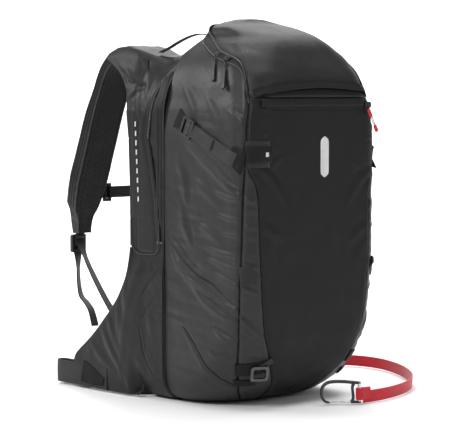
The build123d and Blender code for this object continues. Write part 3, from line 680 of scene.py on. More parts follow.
# where each column meets the hood's zip
zz = np.linspace(480, 626, 401)
Zs = np.repeat(zz[:, None], NC, axis=1)
Pz, _ = body_point(Zs)
gap = Zs - np.interp(Pz[:, :, 1], ZIPY, ZIPZ)
first = np.argmax(gap >= 0, axis=0)
ZCUT = np.array([500.0 if COLS[c] in (2,) and abs(Pz[60, c, 0]) < 118 and Pz[60, c, 1] < -110 else
                 (zz[first[c] - 1] + (zz[1] - zz[0]) * (-gap[first[c] - 1, c]) / max(1e-6, gap[first[c], c] - gap[first[c] - 1, c]) if first[c] > 0 else 500.0)
                 for c in range(NC)])
ZCUT = np.clip(ZCUT, 500.0, 620.0)
ker = np.exp(-(np.arange(-6, 7) / 2.6) ** 2)
ker /= ker.sum()
ZCUT = np.convolve(np.concatenate([ZCUT[-6:], ZCUT, ZCUT[:6]]), ker, mode="valid")

# fabric folds, as lines of (distance round from the front's middle, height), width and height
FOLDS = [
    ([(-318, 258), (-300, 232), (-272, 212), (-246, 200), (-214, 186), (-186, 174), (-158, 163)], 7.0, 4.2, 0.6),
    ([(-300, 262), (-280, 236), (-250, 218), (-214, 206)], 5.0, 1.6, 0.5),
    ([(-262, 196), (-226, 172), (-196, 158), (-160, 146)], 6.0, 2.2, 0.5),
    ([(-236, 262), (-196, 254), (-158, 250)], 4.0, 1.5, 0.4),
    ([(-226, 244), (-190, 234), (-158, 228)], 4.0, 1.9, 0.4),
    ([(-212, 222), (-186, 212), (-158, 202)], 4.0, 1.8, 0.4),
    ([(-204, 132), (-180, 120), (-156, 112)], 4.5, 1.7, 0.4),
    ([(-196, 288), (-176, 284), (-157, 283)], 3.2, 1.2, 0.4),
    ([(-204, 316), (-178, 310), (-156, 308)], 3.4, 1.4, 0.4),
    ([(-214, 352), (-182, 343), (-155, 338)], 3.6, 1.6, 0.4),
    ([(-196, 372), (-172, 362), (-154, 352)], 3.0, 1.2, 0.4),
    ([(-288, 436), (-252, 410), (-216, 386), (-184, 362), (-154, 342)], 7.0, 2.4, 0.5),
    ([(-262, 372), (-232, 352), (-206, 330)], 8.0, 1.4, 0.3),
    ([(-300, 404), (-286, 370), (-280, 330)], 9.0, 1.6, 0.3),
    ([(-292, 330), (-284, 292), (-268, 262)], 8.0, 1.6, 0.3),
    ([(-252, 300), (-222, 286), (-198, 270)], 7.0, 1.2, 0.3),
    ([(-176, 478), (-160, 468), (-150, 452)], 5.0, 1.4, 0.4),
    ([(-224, 500), (-206, 470), (-190, 450)], 9.0, 1.4, 0.3),
    ([(-276, 520), (-262, 490), (-256, 468)], 9.0, 1.4, 0.3),
    ([(-204, 96), (-176, 84), (-150, 80)], 5.0, 1.6, 0.4),
]
STRIP_FOLDS = [
    ([(-158, 242), (-146, 236), (-128, 232)], 3.2, 1.2, 0.4),
    ([(-157, 204), (-142, 196), (-124, 190)], 3.2, 1.3, 0.4),
    ([(-158, 158), (-144, 142), (-126, 126), (-114, 118)], 4.2, 2.6, 0.5),
    ([(-156, 142), (-140, 126), (-118, 112)], 3.6, 1.8, 0.5),
    ([(-152, 122), (-134, 112), (-112, 106)], 3.6, 1.6, 0.4),
    ([(-146, 98), (-128, 92), (-106, 90)], 3.6, 1.4, 0.4),
    ([(-154, 300), (-142, 296), (-130, 296)], 3.0, 1.0, 0.3),
    ([(-153, 342), (-142, 338), (-131, 336)], 3.0, 1.0, 0.3),
]
FRONT_FOLDS = [
    ([(-146, 392), (-126, 386), (-104, 374), (-84, 352), (-70, 330)], 7.0, 2.6, 0.7),
    ([(-140, 378), (-122, 362), (-112, 342)], 6.0, 1.6, 0.4),
    ([(-104, 392), (-86, 402), (-74, 408)], 5.0, 1.2, 0.4),
    ([(-140, 488), (-122, 482), (-100, 482)], 4.0, 1.3, 0.4),
    ([(-146, 446), (-128, 442), (-108, 444)], 4.5, 1.4, 0.5),
    ([(-146, 436), (-130, 432), (-118, 432)], 3.4, 1.0, 0.4),
    ([(-124, 300), (-104, 290), (-78, 272)], 8.0, 2.0, 0.4),
    ([(-124, 276), (-108, 262), (-96, 240)], 8.0, 1.4, 0.3),
    ([(-60, 60), (-30, 40), (10, 34), (50, 40)], 9.0, 1.6, 0.4),
    ([(-76, 30), (-40, 16), (0, 12), (40, 16)], 6.0, 2.6, 0.5),
    ([(-90, 52), (-66, 34), (-44, 24)], 6.0, 1.6, 0.5),
]


def body_disp(Z, S, P):
    """How far the fabric stands out from the plain form, in mm."""
    aS = np.abs(S)
    left = S < 0
    sm1, sm2 = seam1(Z), seam2(Z)
    d1 = np.abs(aS - sm1)
    d2 = np.where(Z < 394, np.abs(aS - sm2), 1e3)
    D = 0.55 * vnoise(S / 46.0, Z / 70.0, 2.0) + 0.35 * vnoise(S / 17.0, Z / 21.0, 7.0)
    is_side = (aS > sm1)
    is_strip = (~is_side) & (aS > sm2) & (Z < 394)
    is_front = ~(is_side | is_strip)
    for sg, mask_side in ((1.0, left), (-1.0, ~left)):
        U = sg * S if sg > 0 else -S
        Vz = Z if sg > 0 else Z + 9.0
        amp = 1.0 if sg > 0 else 0.8
        for pts, w, h, ln in FOLDS:
            D = D + np.where(mask_side & is_side, amp * 1.72 * stroke(U, Vz, pts, w * 0.9, h, ln), 0)
        for pts, w, h, ln in STRIP_FOLDS:
            D = D + np.where(mask_side & is_strip, amp * 1.4 * stroke(U, Vz, pts, w, h, ln), 0)
        D = D + np.where(mask_side & is_side, stroke(U, Z, [(-276, 128), (-236, 98), (-200, 72), (-160, 50), (-122, 36)], 1.7, -2.4, 0.0) + stroke(U, Z + 5.0, [(-276, 128), (-236, 98), (-200, 72), (-160, 50), (-122, 36)], 3.6, 1.6, 0.0), 0)
        for pts, w, h, ln in FRONT_FOLDS:
            D = D + np.where(mask_side & is_front, amp * stroke(U, Vz, pts, w, h, ln), 0)
    # gathers along the seams, and light wrinkles that run across the side
    gather = np.exp(-d1 / 11.0) * vnoise(Z / 5.2, S * 0 + 1.5, np.where(is_side, 4.0, 9.0)) * 0.8
    gather += np.exp(-d2 / 8.0) * vnoise(Z / 6.0, 2.5, np.where(is_front, 5.0, 3.0)) * np.where(is_front, 0.35, 0.6)
    D = D + gather
    wr = vnoise(S / 60.0 + Z / 130.0, (Z + 0.12 * S) / 8.5, 6.0) * ss(0.1, 0.7, vnoise(S / 70.0, Z / 90.0, 12.0) * 0.5 + 0.5)
    D = D + np.where(is_side | is_strip, 0.75, 0.12) * wr * ss(500, 440, Z)
    # seams pull in; the panel beside them swells a little
    D = D + groove(d1, 1.9, 1.7) + groove(d2, 1.7, 1.5)
    D = D + np.where(is_side, 1.3, 0.5) * (np.exp(-((d1 - 7) / 5.0) ** 2)) + 0.5 * np.exp(-((d2 - 6) / 4.0) ** 2)
    # the side swells between its seams, the front is drawn flat
    D = D + np.where(is_side, 1.6 * np.sin(np.pi * np.clip((aS - sm1) / np.maximum(s_back(Z) - sm1, 1), 0, 1)), 0.0)
    D = D * ss(-8, 30, Z + 8) * np.where(COLS[None, :] == 5, 0.35, 1.0)
    # nothing stands out where the bag meets the base unit
    D = D * (1 - 0.85 * ss(44, 57, P[:, :, 1]) * (COLS[None, :] != 5))
    return D


NB, NH = 250, 64
bb = np.concatenate([np.linspace(0, 0.10, 34), np.linspace(0.10, 1.0, NB - 34 + 1)[1:]])
ZB = bb[:, None] * ZCUT[None, :]
PB, SB = body_point(ZB)
hh = 1 - (1 - np.linspace(0, 1, NH)) ** 1.7
ZH = ZCUT[None, :] + hh[:, None] * (628.6 - ZCUT[None, :])
PH, SH = body_point(ZH)
NBn, NHn = grid_normals(PB, True), grid_normals(PH, True)
DB = body_disp(ZB, SB, PB)
# the hood: smoother, with soft creases towards the zip and a slack hollow over its hem
HOOD_FOLDS = [
    ([(-132, 520), (-112, 514), (-92, 514)], 5.0, 1.4, 0.4),
    ([(-138, 506), (-124, 508), (-110, 512)], 4.0, 1.0, 0.4),
    ([(-150, 560), (-120, 566), (-92, 566)], 8.0, 1.2, 0.3),
    ([(-128, 540), (-96, 534), (-60, 536), (-20, 541)], 10.0, 0.9, 0.3),
    ([(40, 528), (84, 536), (120, 530)], 10.0, 1.0, 0.3),
]
DH = 0.7 * vnoise(SH / 52.0, ZH / 40.0, 3.0) + 0.3 * vnoise(SH / 15.0, ZH / 16.0, 8.0)
for pts, w, h, ln in HOOD_FOLDS:
    DH = DH + stroke(SH, ZH, pts, w, h, ln) + stroke(-SH - 14, ZH, pts, w, h, ln)
DH = DH * ss(0, 6, np.abs(ZH - ZCUT[None, :])) * np.where(COLS[None, :] == 5, 0.3, 1.0)
hem = (COLS == 2)[None, :] * ss(124, 96, np.abs(PH[:, :, 0])) * (PH[:, :, 1] < -60)
DH = DH + hem * 2.0 * np.exp(-((ZH - 500) / 9.0) ** 2)
PBd = PB + NBn * DB[:, :, None]
PHd = PH + NHn * DH[:, :, None]
PBd[-1] = PB[-1]
PHd[0] = np.where(hem[0][:, None] > 0.02, PHd[0], PB[-1])
PB_uv = np.stack([SB, ZB], axis=2)
PH_uv = np.stack([SH, ZH], axis=2)

colface = COLS
rowsz = ZB[:-1, :]
frontish = (colface == 2)[None, :] | ((colface == 1) | (colface == 3))[None, :] & (rowsz > 392)
stripish = ((colface == 1) | (colface == 3))[None, :] & (rowsz <= 392)
back_ok = (colface == 5)[None, :] & (rowsz > 548)


def body_piece(name, keep, m, slot_name, body, *rep):
    o = grid_piece(name, PBd, m, PB_uv, closed=True, keep=keep)
    add_solid(o, 1.6)
    return put(o, body, slot_name, *rep)


body_piece("front_cloth", frontish, BLACK, "shell_black", "pack", "front_panel")
body_piece("corner_cloth", stripish, GREY, "shell_grey", "pack", "corner_strips")
body_piece("side_cloth_left", np.broadcast_to((colface == 0)[None, :], rowsz.shape), GREY, "shell_grey", "pack", "side_panel_left")
body_piece("side_cloth_right", np.broadcast_to((colface == 4)[None, :], rowsz.shape), GREY, "shell_grey", "pack", "side_panel_right")
body_piece("top_cloth", back_ok, GREY, "shell_grey", "pack", "top_panel")

# underside: rings closing to the middle, slightly sunk
cen = np.array([0.0, 24.0, 1.2])
ringk = np.linspace(1, 0.02, 14)
PU = np.stack([cen + (PBd[0] - cen) * k for k in ringk], axis=0)
PU[:, :, 2] = 0.2 + 1.2 * (1 - ringk[:, None]) + 0.35 * vnoise(PU[:, :, 0] / 22, PU[:, :, 1] / 22, 3) * (1 - ringk[:, None])
PU[0] = PBd[0]
under = grid_piece("under_cloth", PU, BLACK, PU[:, :, :2].copy(), closed=True, flip=True)
add_solid(under, 1.4)
put(under, "pack", "shell_black", "bottom_panel")

# hood and its crown
cenh = PHd[-1].mean(axis=0)
ringh = np.linspace(1, 0.02, 9)[1:]
PC = np.stack([np.concatenate([cenh[:2] + (PHd[-1][:, :2] - cenh[:2]) * k,
                               np.full((NC, 1), 628.6 + 1.2 * (1 - k * k))], axis=1) for k in ringh], axis=0)
PHall = np.concatenate([PHd, PC], axis=0)
UVall = np.concatenate([PH_uv, np.stack([PC[:, :, 0], PC[:, :, 1]], axis=2)], axis=0)
# the hood takes the lighter copy of the black shell: painted light on its top
hood = grid_piece("hood_cloth", PHall, HOOD_LIT_BLACK, UVall, closed=True)
add_solid(hood, 1.8)
put(hood, "lid", "shell_black", "top_lid")


# ------------------------------------------------------------------ laying trims on the bag's surface
def bvh_of(P, closed=True):
    R, C = P.shape[:2]
    idx = np.arange(R * C).reshape(R, C)
    cc = C if closed else C - 1
    q = np.stack([idx[:-1, :cc], np.roll(idx, -1, axis=1)[:-1, :cc], np.roll(idx, -1, axis=1)[1:, :cc], idx[1:, :cc]], axis=2).reshape(-1, 4)
    return BVHTree.FromPolygons([Vector(p) for p in P.reshape(-1, 3)], [tuple(int(i) for i in f) for f in q])


BAG = bvh_of(np.concatenate([PBd, PHd[1:]], axis=0))


def on_bag(p, direction):
    """Point and outward normal where a line through p along direction first meets the bag."""
    d = Vector(direction).normalized()
    hit, n, _, _ = BAG.ray_cast(Vector(p) - d * 120.0, d)
    if hit is None:
        hit, n, _, _ = BAG.find_nearest(Vector(p))
    if n.dot(d) > 0:
        n = -n
    return np.array(hit), np.array(n)


def at_sz(s, z):
    """Point and normal on the bag at a distance round its front and a height."""
    x, y = plan(np.array([[float(z)]]), np.array([[float(s)]]))
    c = Vector((float(x[0, 0]), float(y[0, 0]), float(z)))
    hit, n, _, _ = BAG.find_nearest(c)
    out = Vector((c.x, c.y - 0.0, 0)) - Vector((0, -20, 0))
    if n.dot(out) < 0:
        n = -n
    return np.array(hit), np.array(n)


def draped_band(name, sz, width, thick, mats, lift=0.9, step=3.0, crown=0.3, ends=True, seed=0.0, ripple=0.15):
    """A flat band laid on the bag along points of (distance round, height)."""
    sz = np.array(sz, float)
    d = np.concatenate([[0], np.cumsum(np.linalg.norm(np.diff(sz, axis=0), axis=1))])
    n = max(4, int(d[-1] / step))
    at = np.linspace(0, d[-1], n)
    ss_, zs_ = np.interp(at, d, sz[:, 0]), np.interp(at, d, sz[:, 1])
    pts, nrm = [], []
    for a, b in zip(ss_, zs_):
        p, q = at_sz(a, b)
        pts.append(p + q * (lift + thick / 2))
        nrm.append(q)
    pts, nrm = np.array(pts), np.array(nrm)
    for _ in range(3):
        pts[1:-1] = 0.25 * pts[:-2] + 0.5 * pts[1:-1] + 0.25 * pts[2:]
        nrm[1:-1] = 0.25 * nrm[:-2] + 0.5 * nrm[1:-1] + 0.25 * nrm[2:]
    T = np.gradient(pts, axis=0)
    W = np.cross(T, nrm)
    W /= np.linalg.norm(W, axis=1, keepdims=True)
    return band(name, pts, W, width, thick, mats, step=step, crown=crown, ripple=ripple, seed=seed, ends=ends)


def tube(name, line, radius, mats, n=8, step=3.0, uvk=1.0, flat=1.0, wdir=(0, 0, 1), radius_at=None):
    """A round cord or piping along a line in mm."""
    line = np.asarray(line, float)
    d = np.concatenate([[0], np.cumsum(np.linalg.norm(np.diff(line, axis=0), axis=1))])
    m = max(3, int(round(d[-1] / step)) + 1)
    at = np.linspace(0, d[-1], m)
    L = np.stack([np.interp(at, d, line[:, k]) for k in range(3)], axis=1)
    T = np.gradient(L, axis=0)
    T /= np.maximum(np.linalg.norm(T, axis=1, keepdims=True), 1e-9)
    w = np.broadcast_to(np.asarray(wdir, float), L.shape).copy()
    w = w - T * (w * T).sum(1, keepdims=True)
    bad = np.linalg.norm(w, axis=1) < 0.1
    w[bad] = np.cross(T[bad], (1.0, 0.3, 0.2))
    w /= np.linalg.norm(w, axis=1, keepdims=True)
    N = np.cross(w, T)
    P = np.zeros((m, n, 3))
    rr = np.full(m, radius) if radius_at is None else radius * np.interp(at / d[-1], *radius_at)
    for k in range(n):
        a = 2 * math.pi * k / n
        P[:, k] = L + (w * math.cos(a) + N * math.sin(a) * flat) * rr[:, None]
    uv = np.zeros((m, n, 2))
    uv[:, :, 0] = at[:, None]
    uv[:, :, 1] = (np.arange(n) * radius)[None, :]
    return grid_piece(name, P, mats, uv, closed=True, cap0=True, cap1=True)


def sz_line(sz, lift, step=3.0):
    sz = np.array(sz, float)
    d = np.concatenate([[0], np.cumsum(np.linalg.norm(np.diff(sz, axis=0), axis=1))])
    at = np.linspace(0, d[-1], max(4, int(d[-1] / step)))
    out = []
    for a, b in zip(np.interp(at, d, sz[:, 0]), np.interp(at, d, sz[:, 1])):
        p, q = at_sz(a, b)
        out.append(p + q * lift)
    out = np.array(out)
    out[1:-1] = 0.25 * out[:-2] + 0.5 * out[1:-1] + 0.25 * out[2:]
    return out


def stitches(name, line, normal, body, spacing=3.2, length=2.0, r=0.32, mat=None):
    """Thread stitches along a line, each a small lens on the cloth."""
    line = np.asarray(line, float)
    d = np.concatenate([[0], np.cumsum(np.linalg.norm(np.diff(line, axis=0), axis=1))])
    n = int(d[-1] / spacing)
    nr = np.broadcast_to(np.asarray(normal, float), line.shape)
    vs, fs = [], []
    for i in range(n):
        c = (i + 0.5) * spacing
        a = np.array([np.interp(c - length / 2, d, line[:, k]) for k in range(3)])
        b = np.array([np.interp(c + length / 2, d, line[:, k]) for k in range(3)])
        nn = np.array([np.interp(c, d, nr[:, k]) for k in range(3)])
        nn /= np.linalg.norm(nn)
        t = (b - a) / max(np.linalg.norm(b - a), 1e-9)
        w = np.cross(t, nn)
        m = (a + b) / 2
        k0 = len(vs)
        vs += [a - nn * r * 0.4, m + w * r, m + nn * r, m - w * r, b - nn * r * 0.4, m - nn * r]
        fs += [(k0, k0 + 1, k0 + 2), (k0, k0 + 2, k0 + 3), (k0 + 4, k0 + 2, k0 + 1), (k0 + 4, k0 + 3, k0 + 2),
               (k0, k0 + 3, k0 + 5), (k0 + 3, k0 + 4, k0 + 5), (k0 + 4, k0 + 1, k0 + 5), (k0 + 1, k0, k0 + 5)]
    if not vs:
        return None
    o = mesh_from(name, vs, fs, mat or THREAD)
    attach(o, body)
    return o


# seams of the bag: fine piping down each side
for sg, nm in ((-1, "left"), (1, "right")):
    zs1 = np.linspace(500, 6, 130)
    o = tube("seam_piping_" + nm, sz_line([(sg * float(seam1(z)), z) for z in zs1], -0.2), 1.0, TRIM, n=6, step=4)
    put(o, "pack", "shell_black")
    zs2 = np.linspace(386, 6, 100)
    o = tube("front_seam_" + nm, sz_line([(sg * float(seam2(z)), z) for z in zs2], -0.3), 0.9, TRIM, n=6, step=4)
    put(o, "pack", "shell_black")
    ln = sz_line([(sg * (float(seam1(z)) - 5.0), z) for z in np.linspace(488, 30, 120)], 0.15)
    ctr = ln - np.array([0, 0, 0])
    nn = ctr - np.array([0, 10.0, 0])[None, :] * 0 - np.stack([ctr[:, 0] * 0, ctr[:, 1] * 0 + 0, ctr[:, 2]], axis=1)
    nn = nn / np.linalg.norm(nn, axis=1, keepdims=True)
    stitches("seam_stitch_" + nm, ln, nn, "pack")
    put(tube("dart_seam_" + nm, sz_line([(sg * a_, b_) for a_, b_ in [(276, 128), (236, 98), (200, 72), (160, 50), (122, 36)]], 0.1), 0.9, TRIM, n=6, step=4), "pack", "shell_black")

# ------------------------------------------------------------------ hood zip: tape and coil on the bag, binding on the hood
order = [c for c in range(NC) if COLS[c] in (0, 1)][::-1]
left_cols = order
right_cols = [c for c in range(NC) if COLS[c] in (3, 4)]
back_cols = [c for c in range(NC) if COLS[c] == 5]
zip_cols = left_cols[6:] + back_cols[::-1] + right_cols[::-1][:-6]
rows = [-6, -5, -4, -3, -2, -1]
tape = np.stack([PBd[r][zip_cols] + NBn[r][zip_cols] * 1.0 for r in rows], axis=0)
for _ in range(2):
    tape[:, 1:-1] = 0.25 * tape[:, :-2] + 0.5 * tape[:, 1:-1] + 0.25 * tape[:, 2:]
edge_path = tape[-1]
L = np.concatenate([[0], np.cumsum(np.linalg.norm(np.diff(edge_path, axis=0), axis=1))])
uv = np.stack([np.broadcast_to(L[None, :], tape.shape[:2]), np.broadcast_to((np.arange(6) * 2.3)[:, None], tape.shape[:2])], axis=2)
o = grid_piece("hood_zip_tape", tape, TAPE, uv)
add_solid(o, 0.9, 0.0)
put(o, "pack", "zip_black", "lid_zip")
Nz = NBn[-1][zip_cols]
coil_line = 0.5 * (tape[-1] + tape[-2]) + Nz * 1.1
put(tube("hood_zip_coil", coil_line, 1.9, COIL, n=8, step=2.0, flat=0.7), "pack", "zip_black")
put(tube("hood_zip_piping", tape[0] + NBn[-6][zip_cols] * 0.4, 1.15, PIPING, n=8, step=3.0), "pack", "shell_grey")
stitches("hood_zip_stitch", tape[1] + NBn[-5][zip_cols] * 0.6, NBn[-5][zip_cols], "pack")
hood_edge = PHd[0][zip_cols] + Nz * 0.9
put(tube("hood_binding", hood_edge + Nz * 0.7, 2.0, TRIM, n=8, step=3.0, flat=0.8), "lid", "shell_black")

# front hem of the hood, a lip over the dark gap
hx_ = np.linspace(-128, 128, 90)
def hem_rise(x):
    return (7.6 + 9.4 * np.cos(np.pi * np.clip(x / 250.0, -0.5, 0.5)) ** 1.2 + 0.018 * x) * ss(130, 114, np.abs(x))


arch = hem_rise(hx_)
lipP = np.zeros((9, 90, 3))
for i, x in enumerate(hx_):
    q, nn = on_bag((x, -130, 509.0), (0, 1, 0))
    yb0 = q[1]
    zlow = 500.4 + arch[i] * 0.9
    prof = [(yb0 - 0.2, max(513.0, zlow + 12.0)), (yb0 - 1.2, max(509.0, zlow + 7.5)), (-138.9 - 0.9, zlow + 2.8), (-140.4, zlow + 0.8), (-140.2, zlow - 0.4), (-139.2, zlow - 0.5), (-138.4, zlow + 0.6), (-136.6, zlow + 2.5), (-133.5, max(506.0, zlow + 5.0))]
    e = float(ss(128, 106, abs(x)))
    for r, (yy, z0) in enumerate(prof):
        lipP[r, i] = (x, lerp(yb0 + 0.2, yy, 0.25 + 0.75 * e), z0 + 0.25 * vnoise(x / 9.0, r * 0.2))
uvl = np.stack([lipP[:, :, 0], lipP[:, :, 2]], axis=2)
o = grid_piece("hood_hem", lipP, BLACK, uvl)
put(o, "lid", "shell_black")
# the strip of the hood that shows under its slack hem, in the darkest black as a painted shadow
hem_shadow_P = np.zeros((4, 90, 3))
for i, x in enumerate(hx_):
    for r in range(4):
        z0 = lerp(500.3, 502.0 + arch[i] * 0.9, r / 3.0)
        q, nn = on_bag((x * 0.985, -130, z0), (0, 1, 0))
        hem_shadow_P[r, i] = (x * 0.985, q[1] - 0.5, z0)
o = grid_piece("hood_hem_shadow_strip", hem_shadow_P, TRIM, np.stack([hem_shadow_P[:, :, 0], hem_shadow_P[:, :, 2]], axis=2))
add_solid(o, 0.5, 0.0)
put(o, "lid", "shell_black")
stitches("hem_stitch", lipP[1, 4:-4] + np.array([0, -0.5, -1.0]), (0, -1, 0.1), "lid")

# ------------------------------------------------------------------ front pocket: zip, flap, slider and pull
zipx = np.linspace(-116, 126, 60)
o = band("pocket_zip_tape", np.stack([zipx, np.full(60, -138.8), np.full(60, 487.4)], axis=1), (0, 0, 1), 11.0, 0.9, TAPE)
put(o, "pack", "zip_black", "pocket_zip")
o = tube("pocket_zip_coil", np.stack([zipx, np.full(60, -139.4), np.full(60, 487.4)], axis=1), 1.7, COIL, n=8, step=2.0, flat=0.6, wdir=(0, 0, 1))
put(o, "pack", "zip_black")
fx = np.linspace(-124, 114, 84)
flap = np.zeros((10, 84, 3))
for r, (yy, z0) in enumerate([(-137.8, 497.6), (-139.4, 498.2), (-140.6, 496.4), (-141.4, 493.4), (-141.7, 490.4), (-141.5, 487.6), (-140.9, 485.4), (-140.5, 485.8), (-140.6, 490.0), (-139.0, 495.6)]):
    flap[r, :, 0] = fx
    flap[r, :, 1] = yy + 0.3 * vnoise(fx / 17.0, r * 0.15) * (1 if r < 8 else 0.3)
    flap[r, :, 2] = z0 + 0.4 * vnoise(fx / 20.0, 4.0 + r * 0.1)
    ends_ = ss(-124, -113, fx) * ss(114, 106, fx)
    flap[r, :, 1] = lerp(-138.9, flap[r, :, 1], 0.15 + 0.85 * ends_)
o = grid_piece("pocket_flap", flap, BLACK, np.stack([flap[:, :, 0], flap[:, :, 2]], axis=2))
put(o, "storm_flap", "shell_black", "storm_flap")
stitches("flap_stitch", flap[2, 3:-3] + np.array([0, -0.3, 0]), (0, -1, 0.2), "storm_flap", mat=TRIM)
NODES["pocket_slider"].data.materials.clear()
NODES["pocket_slider"].data.materials.append(SLIDERM)
add_bevel(NODES["pocket_slider"], 1.0, 3)
# pull: doubled cord with a red sleeve at each end
pd = np.array([math.sin(math.radians(30)), 0, -math.cos(math.radians(30))])
pw = np.array([math.cos(math.radians(30)), 0, math.sin(math.radians(30))])
top = np.array([118.0, -141.4, 482.8])


def link_loop(name, centre, a, b, r, rad, mats, body, n=28):
    ang = np.linspace(0, 2 * math.pi, n + 1)[:-1]
    P = np.zeros((n, 8, 3))
    a, b = np.asarray(a, float), np.asarray(b, float)
    nrm = np.cross(a, b)
    nrm /= np.linalg.norm(nrm)
    for i, t in enumerate(ang):
        c = np.asarray(centre) + a * math.cos(t) + b * math.sin(t)
        out = (a * math.cos(t) + b * math.sin(t))
        out = out / np.linalg.norm(out)
        for k in range(8):
            f = 2 * math.pi * k / 8
            P[i, k] = c + out * rad * math.cos(f) + nrm * rad * math.sin(f)
    P = np.concatenate([P, P[:1]], axis=0)
    uv = np.zeros(P.shape[:2] + (2,))
    o = grid_piece(name, P, mats, uv, closed=True)
    bm = bmesh.new()
    bm.from_mesh(o.data)
    bmesh.ops.remove_doubles(bm, verts=bm.verts, dist=1e-6)
    bm.to_mesh(o.data)
    bm.free()
    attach(o, body)
    return o


cordL = [top + pd * 2 + pw * 0.0, top + pd * 8 - pw * 1.5, top + pd * 26 - pw * 1.6, top + pd * 44 - pw * 1.0]
cordR = [top + pd * 2 + pw * 0.3, top + pd * 8 + pw * 1.5, top + pd * 26 + pw * 1.8, top + pd * 44 + pw * 1.0]
o = tube("pocket_pull_cord", run(cordL), 0.75, PULLB, n=7, step=1.5)
put(o, "pocket_pull", "pull_black", "pocket_pull")
put(tube("pocket_pull_cord_b", run(cordR), 0.75, PULLB, n=7, step=1.5), "pocket_pull", "pull_black")
for k, (a, b, w) in enumerate(((3.0, 18.0, 6.6), (34.0, 46.0, 6.8))):
    ln = np.stack([top + pd * t for t in np.linspace(a, b, 9)])
    o = band("pocket_pull_sleeve_" + str(k), ln, pw, w, 2.5, REDP, step=1.2, crown=0.35, width_at=([0, 0.15, 0.85, 1], [0.75, 1, 1, 0.7]))
    put(o, "pocket_pull", "pull_red")

# ------------------------------------------------------------------ hood zip sliders and their long pulls
for key, plen, dx, dz, piv in (("upper", 33.0, 0.545, 0.838, (-123.173, -32.0, 564.604)), ("lower", 44.0, 0.545, 0.838, (-128.891, -60.0, 557.304))):
    nd = NODES["lid_slider_" + key]
    nd.data.materials.clear()
    nd.data.materials.append(SLIDERM)
    add_bevel(nd, 0.9, 3)
    dn = np.array([-0.40, -0.33, -0.855])
    dn = dn / np.linalg.norm(dn)
    nn = np.cross(dn, (0.0, 1.0, 0.0))
    nn = nn / np.linalg.norm(nn)
    if nn[0] > 0:
        nn = -nn
    sd = np.cross(nn, dn)
    tp = np.array(piv)
    plen = 45.0 if key == "upper" else 51.0
    link_loop("pull_link_" + key, tp - dn * 0.6 + nn * 0.6, dn * 3.6, sd * 2.1, 0, 0.7, SLIDERM, "lid_pull_" + key)
    whole = []
    for t in np.linspace(2.0, plen, 26):
        q_ = tp + dn * t + nn * 0.4
        hit_, hn_, _, _ = BAG.find_nearest(Vector(tuple(q_)))
        hit_, hn_ = np.array(hit_), np.array(hn_)
        if hn_[0] > 0.2:
            hn_ = -hn_
        lift_ = float((q_ - hit_) @ hn_)
        if lift_ < 2.4:
            q_ = q_ + hn_ * (2.4 - lift_)
        whole.append(q_)
    whole = np.array(whole)
    for _ in range(6):
        whole[1:-1] = 0.25 * whole[:-2] + 0.5 * whole[1:-1] + 0.25 * whole[2:]
    put(tube("pull_cord_" + key, whole[:9], 1.3, PULLB, n=8, step=1.5), "lid_pull_" + key, "pull_black")
    o = band("pull_tab_" + key, whole[6:], sd, 7.6, 3.0, PULLB, step=1.2, crown=0.3, width_at=([0, 0.1, 0.5, 0.92, 1], [0.5, 0.85, 0.9, 1.0, 0.7]))
    put(o, "lid_pull_" + key, "pull_black", "lid_pull_" + key)

# ------------------------------------------------------------------ compression straps, their buckles and patches
for sg, nm in ((-1, "left"), (1, "right")):
    def cs(p, q=0.0):
        y = -5 - 0.904 * p + 0.427 * q * 0
        z = 452 - 0.427 * p
        return y, z
    line, nrm = [], []
    for p in np.linspace(3, 118, 44):
        y, z = cs(p)
        h, n_ = on_bag((sg * 150.0, y, z), (-sg, 0, 0))
        line.append(h + n_ * (2.0 + 3.2 * math.exp(-((p - 3) / 9.0) ** 2)))
        nrm.append(n_)
    line, nrm = np.array(line), np.array(nrm)
    for _ in range(4):
        line[1:-1] = 0.25 * line[:-2] + 0.5 * line[1:-1] + 0.25 * line[2:]
    T = np.gradient(line, axis=0)
    W = np.cross(T, nrm)
    W /= np.linalg.norm(W, axis=1, keepdims=True)
    o = band("compression_web_" + nm, line, W, 22.0, 1.9, WEBG, step=2.5, crown=0.25, ripple=0.15)
    put(o, "pack", "webbing_black", *(["compression_straps"] if sg < 0 else []))
    # free tail folded back under the strap, with its cut end across the middle
    tl = line[:24] + nrm[:24] * 2.0
    o = band("compression_tail_" + nm, tl, W[:24], 21.0, 1.7, WEBG, step=2.5, crown=0.3, ripple=0.3, seed=3.0)
    put(o, "pack", "webbing_black")
    # rear patch: a dark wedge of webbing sewn into the zip seam
    pl, pn = [], []
    for p in np.linspace(-36, -3, 12):
        y, z = cs(p)
        h, n_ = on_bag((sg * 150.0, y, z), (-sg, 0, 0))
        pl.append(h + n_ * (1.0 + 2.2 * ss(-14, -3, p)))
        pn.append(n_)
    pl, pn = np.array(pl), np.array(pn)
    W2 = np.cross(np.gradient(pl, axis=0), pn)
    W2 /= np.linalg.norm(W2, axis=1, keepdims=True)
    o = band("compression_patch_" + nm, pl, W2, 34.0, 1.8, TRIM, step=2.5, crown=0.2, width_at=([0, 0.5, 1], [1.0, 0.72, 0.62]))
    put(o, "pack", "webbing_black")
    # front patch: a dark triangle in the corner seam
    pl, pn = [], []
    for t in np.linspace(0, 1, 12):
        h, n_ = at_sz(sg * lerp(176.0, 151.5, t), lerp(414.0, 398.0, t))
        pl.append(h + n_ * 1.1)
        pn.append(n_)
    pl, pn = np.array(pl), np.array(pn)
    W2 = np.cross(np.gradient(pl, axis=0), pn)
    W2 /= np.linalg.norm(W2, axis=1, keepdims=True)
    o = band("compression_front_patch_" + nm, pl, W2, 40.0, 1.6, TRIM, step=2.5, crown=0.2, width_at=([0, 1], [0.6, 1.0]))
    put(o, "pack", "webbing_black")
    nd = NODES["compression_buckle_" + nm]
    nd.data.materials.clear()
    nd.data.materials.append(PLASTIC)
    add_bevel(nd, 1.2, 3)

